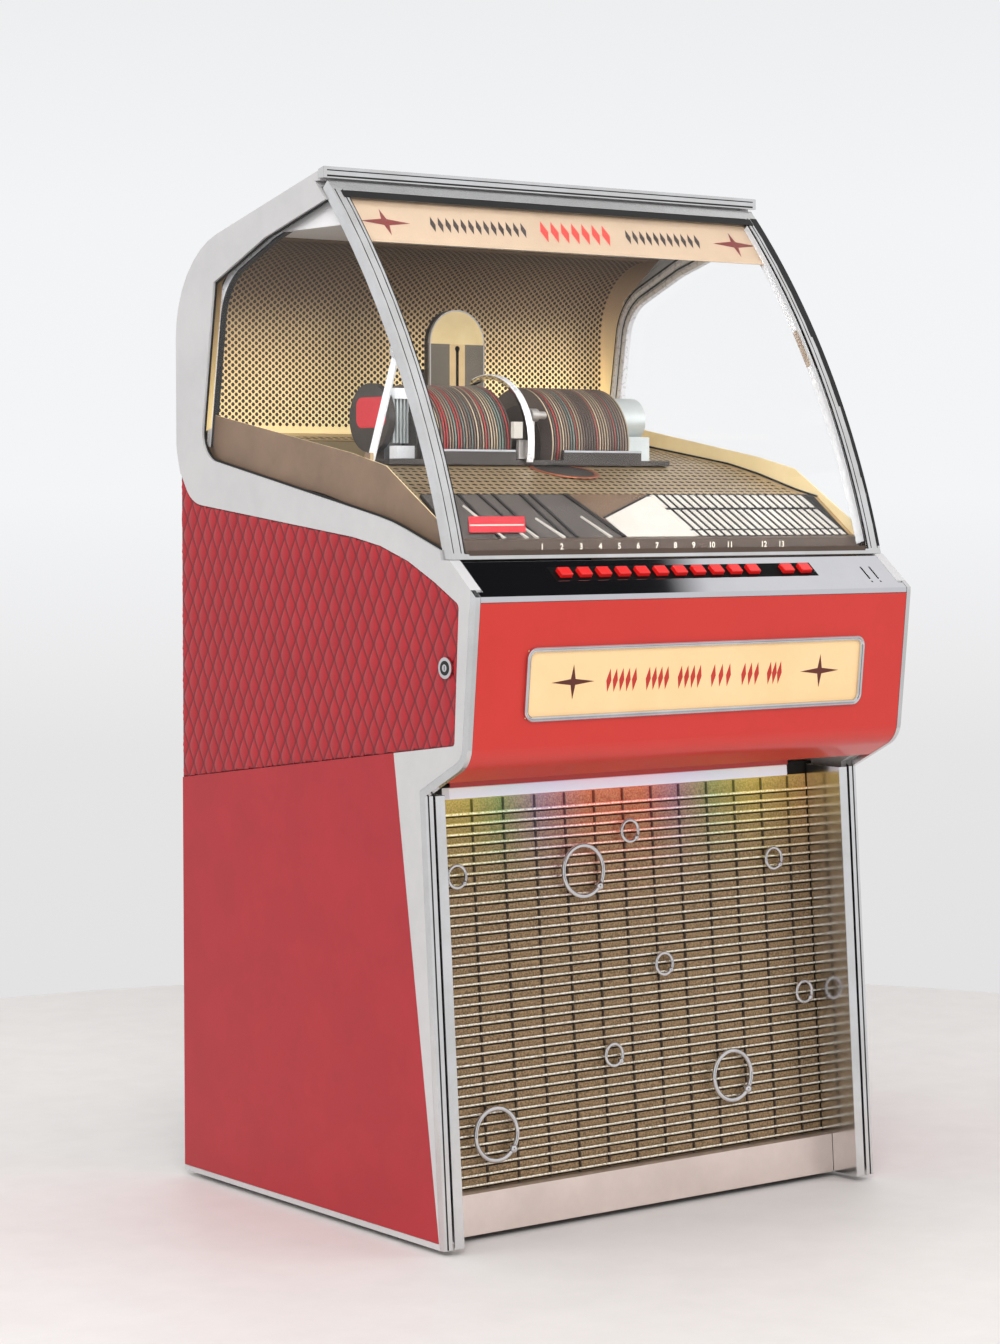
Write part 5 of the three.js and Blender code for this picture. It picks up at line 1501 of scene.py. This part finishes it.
@dataclass
class Windscreen:
    """Opening windscreen: polished frame, curved glass and printed header."""

    grooves: tuple[Point2, ...] = ((392.5, 0.5), (405.5, 0.4))
    # Heights and half widths of a painted dark band up the right rail.
    dark_steps: tuple[Point2, ...] = ((985.0, 2.0), (1090.0, 3.4), (1200.0, 4.8), (1310.0, 6.2))
    dark_edge: float = 410.6
    gasket_x: float = 384.4
    gasket_half: dict[str, float] = field(default_factory=lambda: {"left": 2.2, "right": 0.6})
    foot: float = 982.0
    head: float = 1503.0

    def build(self) -> None:
        """Builds the windscreen and its stay."""
        refined("windscreen_frame", "polished_screen_frame", [POLISHED], "windscreen", bevel=0.8,
                smooth=36.0, slot="polished_steel")
        refined("windscreen_glass", "curved_glass", [glass_material()], "windscreen", bevel=0.0, smooth=36.0,
                slot="clear_glass")
        refined("header_strip", "header_panel", [HEADER_CREAM], "windscreen", bevel=0.2, smooth=36.0,
                slot="sign_cream")
        self.rails()
        self.header_print()
        refined("stay_arm", "enamelled_stay", [WHITE_ENAMEL], "stay", bevel=0.6, slot="white_enamel")

    def rails(self) -> None:
        """Paints shade in the rails' grooves and up the right rail, and lays a gasket between rail and glass.
        """
        mould = Mould()
        for side, sign in SIGNS.items():
            for x, half in self.grooves:
                path = screen_path(self.foot, self.head, sign * x, 0.0)
                mould.sweep(oblong(-half, -0.3, half, 0.25), path, AXIS_X)
            # A painted dark band up the right rail's face, wider toward the top.
            for low, half in self.dark_steps if side == "right" else ():
                path = screen_path(low, self.head, self.dark_edge - half, 0.0)
                mould.sweep(oblong(-half, -0.35, half, 0.3), path, AXIS_X)
            half = self.gasket_half[side]
            path = screen_path(self.foot, self.head - 3.0, sign * self.gasket_x, 5.6)
            mould.sweep(oblong(-half, -0.2, half, 1.6), path, AXIS_X)
        self.band(mould, 1491.5, 1501.5, 396.0)
        mould.piece("screen_gaskets", [RUBBER_AND_SHADE], "windscreen", smooth=35.0)
        path = [(x, y + 9.0, z) for x, y, z in screen_path(990.0, 1484.0, 378.9, 0.0)]
        liner = Mould().sweep(oblong(-0.5, -8.6, 0.5, 8.6), path, AXIS_X)
        liner.piece("screen_rail_liner", [WHITE_ENAMEL], "windscreen", smooth=35.0)
        strip = Mould()
        self.band(strip, 978.5, 985.5, 379.0)
        strip.piece("lower_rail_strip", [STRIP_BROWN], "windscreen")
        path = [(x, y + 12.0, z) for x, y, z in screen_path(1262.0, 1318.0, 381.0, 0.0, 10)]
        section = [(-3.0, -6.0), (1.5, -7.5), (3.0, -6.0), (3.0, 6.0), (1.5, 7.5), (-3.0, 6.0)]
        latch = Mould().sweep(section, path, AXIS_X)
        latch.piece("screen_latch", [BRONZE], "windscreen", bevel=2.2, segments=3)

    def band(self, mould: Mould, low: float, high: float, reach: float) -> None:
        """Adds a thin strip along X on the frame's face between two heights.

        Args:
            mould: Where it is added.
            low: Its lower edge.
            high: Its upper edge.
            reach: How far it reaches to either side.
        """
        front, back = (screen_y(low), low), (screen_y(high), high)
        mould.prism([(front[0] - 0.35, low), (front[0] + 0.4, low), (back[0] + 0.4, high),
                     (back[0] - 0.35, high)], -reach, reach, "X")

    def header_print(self) -> None:
        """Prints stars and plain lozenges on the header strip."""
        shapes = [(star((x, 1456.0), 45.0, 20.0, 0.24), 2) for x in (-338.0, 338.0)]
        for first, end, step, half_wide, half_high, slot in (
            (-252, -80, 14, 4.8, 12.0, 0), (120, 270, 14, 4.8, 12.0, 0), (-44, 80, 20, 7.5, 17.0, 1),
        ):
            shapes += [(lozenge((x, 1457.0), half_wide, half_high, 0.15), slot)
                       for x in range(first, end, step)]
        bm = bmesh.new()
        for outline, slot in shapes:
            face = bm.faces.new([bm.verts.new((x, 0.0, z)) for x, z in outline])
            face.material_index = slot
        for step in range(15):
            geometry = bm.verts[:] + bm.edges[:] + bm.faces[:]
            bmesh.ops.bisect_plane(bm, geom=geometry, plane_co=(0, 0, 1427 + 5 * step), plane_no=(0, 0, 1))
        for vert in bm.verts:
            vert.co.y = header_front(vert.co.z) - 0.35
        dress("header_print", as_mesh(bm, "header_print"), [INK_DARK, INK_RED, INK_MAROON], "windscreen")


@dataclass
class Fold:
    """A folded sheet's side profile, measured along its length."""

    points: Sequence[Point2]

    def length(self) -> float:
        """Returns the profile's whole length."""
        return sum((Vector(b) - Vector(a)).length for a, b in zip(self.points, self.points[1:]))

    def at(self, along: float) -> tuple[Vector, Vector, Vector]:
        """Returns place, direction and normal at a distance along the profile.

        Args:
            along: The distance from the first point.

        Returns:
            The place, the unit direction and the unit normal on the left of it, in space.
        """
        for a, b in zip(self.points, self.points[1:]):
            step = Vector(b) - Vector(a)
            if along <= step.length or b == self.points[-1]:
                way = step.normalized()
                spot = Vector(a) + way * along
                return (Vector((0, spot.x, spot.y)), Vector((0, way.x, way.y)), Vector((0, -way.y, way.x)))
            along -= step.length
        raise ValueError("the profile has no length")


DECK = Fold([
    (26.0, 997.0), (110.0, 1059.0), (155.0, 1069.0), (250.0, 1096.0), (320.0, 1112.0), (639.7, 1160.0),
])
LINER = Fold(rounded([(500.0, 1449.0), (640.0, 1449.0, 118.0), (640.0, 1160.0)], closed=False, step=4.0))


@dataclass
class Compartment:
    """Record compartment: roof, liner, deck and light box."""

    # The deck's opening for the mechanism: left, right, front and back.
    well: tuple[float, float, float, float] = (-308.0, 248.0, 280.0, 558.0)
    liner_pitch: Point2 = (12.5, 10.0)
    liner_hole: float = 3.3
    liner_left: float = 390.0
    liner_wall: float = 171.0
    # Neighbouring rows are half of this pitch apart.
    deck_pitch: Point2 = (14.0, 36.0)
    deck_hole: float = 4.8
    deck_left: float = 378.0
    seal_x: float = 390.5
    cover_along: float = 263.0

    def build(self) -> None:
        """Builds the compartment's sheets with their punched holes."""
        refined("roof_panel", "laminated_roof", [LAMINATE, POLISHED], bevel=0.8, smooth=36.0,
                slot="white_laminate", choose=lambda place, normal: int(place.y < 300.0))
        self.roof_lines()
        refined("rear_liner", "gold_liner", [liner_material()], bevel=0.2, smooth=36.0, slot="gold_sheet")
        refined("record_deck", "gold_deck", [GOLD_DECK, GOLD_DARK, CREAM_METAL], bevel=0.2, smooth=30.0,
                slot="gold_sheet", choose=self.deck_finish)
        refined("header_light_box", "light_box", [LAMINATE], bevel=0.5, slot="white_laminate")
        self.holes()
        self.round_cover()
        self.edge_seal()

    def edge_seal(self) -> None:
        """Paints a dark shadow line in the crease where the deck turns up into its flanges."""
        mould = Mould()
        for x in (-self.seal_x, self.seal_x):
            path = [DECK.at(along)[0] + AXIS_X * x for along in range(106, int(DECK.length()) - 6, 12)]
            mould.sweep(oblong(-1.6, -0.5, 1.6, 2.6), path, AXIS_X)
        mould.piece("deck_crease_shadow", [RUBBER_AND_SHADE], smooth=35.0)

    def round_cover(self) -> None:
        """Sets the round cover with its copper rim in the deck before the records."""
        place, way, _ = DECK.at(self.cover_along)
        turn = Matrix.Translation(place) @ Matrix.Rotation(math.atan2(way.z, way.y), 4, "X")
        mould = Mould(turn)
        mould.turned([(47, 0.2), (47, 1.6), (54, 1.6), (56, 0.2)], (7, 0, 0), AXIS_Z, 64, looped=True)
        mould.slot = 1
        mould.puck(47.5, 0.1, 0.7, (7, 0, 0), AXIS_Z, 64)
        mould.piece("deck_round_cover", [COPPER, BLACK_CHROME], bevel=0.3, smooth=50.0)

    def roof_lines(self) -> None:
        """Marks two grooves in the roof's polished front strip with black strips of painted shade."""
        mould = Mould()
        for z, half in ((1522.5, 1.3), (1530.5, 0.8)):
            mould.box((-412.0, 285.6, z - half), (412.0, 286.3, z + half))
        mould.piece("roof_trim_grooves", [RUBBER_AND_SHADE])

    def deck_finish(self, place: Vector, normal: Vector) -> int:
        """Tells the brown outer faces and the cream inner faces of the flanges from the deck.

        Args:
            place: The face's middle in the drawing.
            normal: The face's normal.

        Returns:
            0 for the deck, 1 for an outer face and 2 for an inner face.
        """
        if abs(place.x) < 391.5:
            return 0
        return 1 if normal.x * place.x > 0 else 2

    def holes(self) -> None:
        """Lays staggered discs of painted shade for the holes in the liner and the deck, lit brown on the
        liner.
        """
        wall_from = LINER.length() - self.liner_wall
        left, right, front, back = self.well

        def on_liner(u: float, v: float) -> bool:
            """Tells whether a hole lies on the liner."""
            return 2 < u < 778 and 20 < v < LINER.length() - 12

        def liner_place(u: float, v: float) -> tuple[Vector, Vector, Vector]:
            """Returns place and directions on the liner, further off the sheet above its wall."""
            place, way, out = LINER.at(v)
            off = 1.2 if v < wall_from else 0.25
            return place + AXIS_X * (u - self.liner_left) - out * off, AXIS_X, way

        def on_deck(u: float, v: float) -> bool:
            """Tells whether a hole lies on the deck clear of the mechanism."""
            x, y = u - self.deck_left, DECK.at(v)[0].y
            return abs(x) < 374 and 118 < y < 630 and not (left < x < right and front < y < back)

        def deck_place(u: float, v: float) -> tuple[Vector, Vector, Vector]:
            """Returns place and directions on the deck."""
            place, way, out = DECK.at(v)
            return place + AXIS_X * (u - self.deck_left) + out * 0.25, AXIS_X, way

        for name, sheet, columns, pitch, radius, keep, wrap, finish in (
            ("liner", LINER, 63, self.liner_pitch, self.liner_hole, on_liner, liner_place, HOLE_WARM),
            ("deck", DECK, 54, self.deck_pitch, self.deck_hole, on_deck, deck_place, PAINTED_SHADE),
        ):
            dots = dot_field(f"{name}_holes", columns, int(sheet.length() / pitch[1]), *pitch, radius)
            mesh = perforated(f"{name}_perforation", dots, keep, wrap)
            dress(mesh.name, mesh, [finish], "cabinet")


TITLE_TURN = math.atan2(62.0, 84.0)
ON_TITLE = Matrix.Translation((0, 23.0, 1001.4)) @ Matrix.Rotation(TITLE_TURN, 4, "X")


@dataclass
class Titles:
    """Title panel: grey leaves, one open page, rows of plain cards and the numbered strip."""

    # Each leaf's place at the top and at the foot, and its width.
    leaves: tuple[tuple[float, float, float], ...] = (
        (-314, -303, 4), (-278, -254, 4), (-252, -233, 4), (-202, -183, 5), (-184, -163, 5), (-119, -75, 8),
    )
    # Each pale edge's top and foot.
    pale: tuple[tuple[Point2, Point2], ...] = (
        ((-322, 74), (-296, -3)), ((-268, 30), (-255, -3)), ((-250, 30), (-236, -3)),
        ((-211, 43), (-187, -3)), ((-125, 47), (-101, -3)),
    )
    strips: int = 19
    strip_span: Point2 = (66.0, 364.0)
    card_spans: tuple[Point2, ...] = ((0.0, 12.0), (16.0, 63.0), (69.0, 100.0))
    lean: float = 0.2
    digit_size: float = 12.5
    digit_place: Point2 = (11.75, 988.5)

    def build(self) -> None:
        """Builds the panel, its pages and the strip."""
        refined("title_panel", "title_board", [SHADOW_GREY, STRIP_BROWN], bevel=0.4, slot="title_white",
                choose=lambda place, normal: int(place.y < 25))
        self.grey_leaves()
        self.open_page()
        self.card_rows()
        self.numbers()

    def grey_leaves(self) -> None:
        """Stands the grey leaves of the left part, with painted shade in their folds and thin pale edges
        between.
        """
        mould = Mould(ON_TITLE)
        mould.prism([(-375, -1), (-78, -1), (-118, 102), (-375, 102)], 0.0, 0.8, "Z")
        mould.slot = 1
        for top, foot, wide in self.leaves:
            mould.prism(slanting((foot, -1), (top, 103), wide / 2, wide / 2), 0.5, 3.0, "Z")
        mould.slot = 2
        for top, foot in self.pale:
            mould.prism(slanting(foot, top, 2.2, 0.6), 0.5, 3.6, "Z")
        mould.slot = 3
        mould.prism([(-352, 8), (-252, 8), (-231, 45), (-331, 45)], 3.8, 4.8, "Z")
        mould.slot = 2
        mould.prism([(-342, 23), (-246, 23), (-244.5, 26), (-340.5, 26)], 4.8, 4.95, "Z")
        mould.piece("title_pages_left", [CARD_GREY, SHADOW_GREY, CARD, LABEL_RED], slot="title_white")

    def open_page(self) -> None:
        """Opens one white page in the middle, cut off slantwise at its upper left."""
        mould = Mould(ON_TITLE)
        mould.prism([(-70, -1), (66, -1), (42, 97), (31, 96), (-81, 46)], 0.4, 1.6, "Z")
        # A painted shadow along the page's slanting edge.
        mould.slot = 1
        mould.prism([(-84, 46), (31, 98), (31, 95), (-80, 44)], 1.0, 2.6, "Z")
        mould.slot = 2
        mould.prism([(-116, 103), (-78, -1), (-70, -1), (-84, 46), (31, 99), (40, 103)], 0.4, 0.9, "Z")
        mould.piece("title_page_middle", [CARD, SHADOW_GREY, GOLD_DARK], slot="title_white")

    def card_rows(self) -> None:
        """Sets slanting rows of white title cards in the right part."""
        mould = Mould(ON_TITLE)
        # The dark base between the cards is painted shade.
        mould.prism([(60, -1), (374, -1), (374, 102), (40, 102)], 0.2, 0.8, "Z")
        mould.slot = 1
        start, end = self.strip_span
        pitch = (end - start) / self.strips
        half = pitch * 0.27
        for k in range(self.strips + 1):
            x = start + pitch * k
            for low, high in self.card_spans:
                near, far = (x - self.lean * low, low), (x - self.lean * high, high)
                mould.prism(slanting(near, far, half, half), 0.8, 1.9, "Z")
        mould.piece("title_cards_right", [SHADOW_GREY, CARD], slot="title_white")

    def numbers(self) -> None:
        """Prints plain numbers over the keys on the strip at the panel's nose."""
        bm = bmesh.new()
        for number, x in enumerate(Controls().keys, start=1):
            text = bpy.data.curves.new(f"digit_{number}", "FONT")
            text.body = str(number)
            text.size = self.digit_size
            text.offset = 0.3
            text.align_x = "CENTER"
            text.align_y = "CENTER"
            text.resolution_u = 3
            holder = add_object(text.name, text)
            evaluated = holder.evaluated_get(bpy.context.evaluated_depsgraph_get())
            mesh = bpy.data.meshes.new_from_object(evaluated)
            bpy.data.objects.remove(holder)
            mesh.transform(Matrix.Translation((x, *self.digit_place)) @ Matrix.Rotation(math.pi / 2, 4, "X"))
            bm.from_mesh(mesh)
        dress("strip_numbers", as_mesh(bm, "strip_numbers"), [INK_CREAM], "cabinet")


@dataclass
class Mechanism:
    """Record mechanism: banks, carriage, motor and their frame."""

    axis_y: float = 385.0
    axis_z: float = 1141.0
    disc_radius: float = 88.0
    disc_pitch: float = 5.2
    disc_thick: float = 2.4
    core_radius: float = 60.0
    tray_top: float = 1115.7
    hoop_x: float = -44.0
    hoop_radius: float = 106.0
    face_y: float = 496.1
    gold_from: float = 1299.0
    banks: dict[str, tuple[float, float]] = field(default_factory=lambda: {
        "left": (-212.0, -62.0), "right": (10.0, 170.0),
    })

    def build(self) -> None:
        """Builds everything that plays and stores the records."""
        refined("mechanism_frame", "mechanism_chassis", [BLACK_CHROME, CHROME, SILVER], bevel=0.8,
                smooth=36.0, slot="mechanism_dark", choose=self.frame_finish)
        for seed, (side, (low, high)) in enumerate(self.banks.items(), start=3):
            self.bank(side, low, high, seed)
        refined("turntable", "turntable_clamp", [CHROME], "disc_drive", bevel=0.5, slot="ring_chrome")
        refined("pickup_arm", "pickup", [BLACK_PLASTIC], "pickup", bevel=0.5, slot="black_plastic")
        self.housing()
        self.motor()
        self.hoop()
        self.fittings()

    def frame_finish(self, place: Vector, normal: Vector) -> int:
        """Tells the guide hoop and the right-hand end from the dark frame.

        Args:
            place: The face's middle in the drawing.
            normal: The face's normal; not used.

        Returns:
            0 for dark metal, 1 for chrome and 2 for silver paint.
        """
        reach = math.hypot(place.y - self.axis_y, place.z - self.axis_z)
        if abs(place.x - self.hoop_x) < 7 and reach > 96 and place.z > self.tray_top + 1:
            return 1
        return 2 if place.x > 183 and place.z > self.tray_top + 1 else 0

    def bank(self, side: str, low: float, high: float, seed: int) -> None:
        """Stacks one bank of records on the shaft.

        Args:
            side: "left" or "right".
            low: Where the bank starts.
            high: Where it ends.
            seed: The seed of the records' edge colours.
        """
        pitch = self.disc_pitch
        start = Vector((low + pitch / 2, self.axis_y, self.axis_z))
        discs = rods(f"bank_{side}", disc_material(), int((high - low) / pitch), Vector((pitch, 0, 0)),
                     start, self.disc_thick, self.disc_radius, 72, shade_seed=seed)
        for polygon in discs.polygons:
            polygon.material_index = int(abs(polygon.normal.x) > 0.9)
        dress(f"records_{side}", placed(discs), [disc_material(), VINYL_BLACK], "cabinet", smooth=35.0,
              replaces=[f"record_bank_{side}"], slot="record_vinyl")
        core = Mould().puck(self.core_radius, 0, high - low, (low, self.axis_y, self.axis_z), AXIS_X, 48)
        core.piece(f"record_core_{side}", [CARD_GREY], smooth=35.0)

    def housing(self) -> None:
        """Builds the arched player housing: gold upper face, olive lower face and a bright rim."""
        refined("player_carriage", "player_housing", [BLACK_CHROME], "carriage", bevel=0.8, smooth=36.0,
                slot="mechanism_dark", segments=3)
        split, back = self.gold_from, self.face_y
        arch = rounded([(-74, 1117), (-74, 1351, 51.5), (30, 1351, 51.5), (30, 1117)], step=4.0)
        upper = [(-74.0, split), *((x, z) for x, z in arch if z > split), (30.0, split)]
        face = Mould().prism(upper, back - 0.35, back, "Y")
        face.slot = 1
        for low, high in ((-73.9, -37.0), (-7.0, 29.9)):
            face.prism(oblong(low, 1120, high, split), back - 0.25, back, "Y")
        # A slot in the face, as a dark shape of painted shade.
        face.slot = 2
        face.prism(circle(4.6, 20, -22, 1292), back - 0.6, back - 0.2, "Y")
        face.prism(oblong(-24.6, 1120, -19.4, 1292), back - 0.6, back - 0.2, "Y")
        face.slot = 3
        face.prism(oblong(-37.0, 1120, -7.0, split), back - 0.3, back, "Y")
        face.piece("player_face", [PLAYER_GOLD, OLIVE_FACE, PAINTED_SHADE, GOLD], "carriage", slot="gold_sheet")
        outline = rounded([(-75, 1118), (-75, 1352, 52.5), (31, 1352, 52.5), (31, 1118)],
                          closed=False, step=4.0)
        path = [(x, back - 0.1, z) for x, z in outline]
        rim = Mould().sweep([(-0.4, -1.0), (-0.4, 1.6), (5.0, 1.6), (5.0, -1.0)], path, AXIS_Y)
        rim.piece("player_rim", [AGED_CHROME], "carriage", bevel=0.5, slot="ring_chrome")

    def motor(self) -> None:
        """Builds the drive at the left end: round cover with a plain label, ribs and pale blocks."""
        refined("drive_motor", "motor", [CAST, BLACK_CHROME], bevel=0.8, smooth=36.0, slot="cast_alloy",
                choose=lambda place, normal: int(place.x < -255))
        label = Mould()
        outline = rounded([(342, 1163, 14), (418, 1163, 14), (418, 1209, 14), (342, 1209, 14)])
        label.prism(outline, -268.8, -268.2, "X")
        label.slot = 1
        for k in range(5):
            x = -252 + 6.5 * k
            label.box((x, 346, 1140), (x + 3, 424, 1214))
        label.slot = 2
        label.box((-254, 338, 1206), (-226, 352, 1222))
        label.box((-256, 330, 1117), (-222, 350, 1136))
        label.piece("motor_details", [LABEL_RED, SILVER, WHITE_ENAMEL], bevel=0.8, slot="cast_alloy")

    def hoop(self) -> None:
        """Skins the guide hoop in front of the carriage with bright metal."""
        section = [(-6.2, -0.2), (6.2, -0.2), (6.2, 0.3), (5.4, 0.9), (-5.4, 0.9), (-6.2, 0.3)]
        turns = [math.radians(70 + 175 * k / 71) for k in range(72)]
        path = [(self.hoop_x, self.axis_y + self.hoop_radius * math.cos(t),
                 self.axis_z + self.hoop_radius * math.sin(t)) for t in reversed(turns)]
        mould = Mould().sweep(section, [p for p in path if p[2] > 1109], AXIS_X)
        mould.piece("chrome_hoop", [WINDOW_BRIGHT], smooth=35.0, slot="ring_chrome")

    def fittings(self) -> None:
        """Adds the bright rail edge, the pale switch block and the bracket between the banks."""
        mould = Mould()
        for low, high in ((-217, -67), (27, 181)):
            mould.box((low, 287.4, 1127.5), (high, 288.2, 1130.8))
        mould.slot = 1
        mould.box((-75, 282, 1148), (-58, 290, 1173))
        mould.slot = 2
        mould.turned([(0, 0), (10, 0), (10, 14), (6, 14), (6, 30), (0, 30)], (-32, 300, 1184), AXIS_X, 24)
        mould.box((-30, 296, 1118), (-24, 304, 1180))
        mould.box((-60, 289, 1117), (-40, 296, 1146))
        mould.piece("mechanism_fittings", [CAST, CARD, AGED_CHROME], bevel=0.6, slot="ring_chrome")


@dataclass
class Inside:
    """Everything behind the front and at the back."""

    screws: tuple[Point2, ...] = ((-380, 30), (-380, 1066), (380, 30), (380, 1066))
    door_back: float = 690.0

    def build(self) -> None:
        """Builds the hidden and rear pieces."""
        refined("speaker_baffle", "baffle_board", [BLACK_BOARD], bevel=0.8, slot="black_board")
        for side in SIGNS:
            refined(f"woofer_{side}", f"woofer_cone_{side}", [BLACK_PLASTIC], smooth=36.0,
                    slot="black_plastic")
        refined("base_board", "base", [BLACK_BOARD], bevel=0.8, slot="black_board")
        refined("rear_door", "rear_door_board", [BLACK_BOARD], "door", bevel=1.0, slot="black_board")
        refined("mains_inlet", "mains_socket", [BLACK_PLASTIC], "door", bevel=0.7, slot="black_plastic")
        self.door_screws()
        refined("amplifier", "amplifier_chassis", [CAST], bevel=1.0, slot="cast_alloy")
        refined("cash_box", "cash_tin", [CAST], bevel=0.8, slot="cast_alloy")

    def door_screws(self) -> None:
        """Sets a cross-head screw in each corner of the rear door."""
        head = [(0, -0.3), (6.5, -0.3), (6.5, 0.8), (4.5, 1.9), (0, 1.9)]
        low, high = self.door_back + 1.8, self.door_back + 2.0
        mould = Mould()
        for x, z in self.screws:
            mould.turned(head, (x, self.door_back, z), AXIS_Y, 24)
        # The cross recesses are black strips of painted shade.
        mould.slot = 1
        for x, z in self.screws:
            for wide, tall in ((3.2, 0.6), (0.6, 3.2)):
                mould.box((x - wide, low, z - tall), (x + wide, high, z + tall))
        mould.piece("door_screws", [CAST, RUBBER_AND_SHADE], "door", smooth=50.0)


def corners() -> list[list[float]]:
    """Returns the lowest and highest corner of what is shown, in metres."""
    low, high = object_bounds()
    return [[float(v) for v in low], [float(v) for v in high]]


def main() -> None:
    """Builds the object and its studio."""
    logging.basicConfig(level=logging.INFO, format="%(name)s: %(message)s")
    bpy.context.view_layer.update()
    for part in (Sides(), Grille(), Front(), Controls(), Windscreen(), Compartment(), Titles(),
                 Mechanism(), Inside(), Studio()):
        part.build()
        LOG.info("built %s", type(part).__name__)


if __name__ == "__main__":
    main()
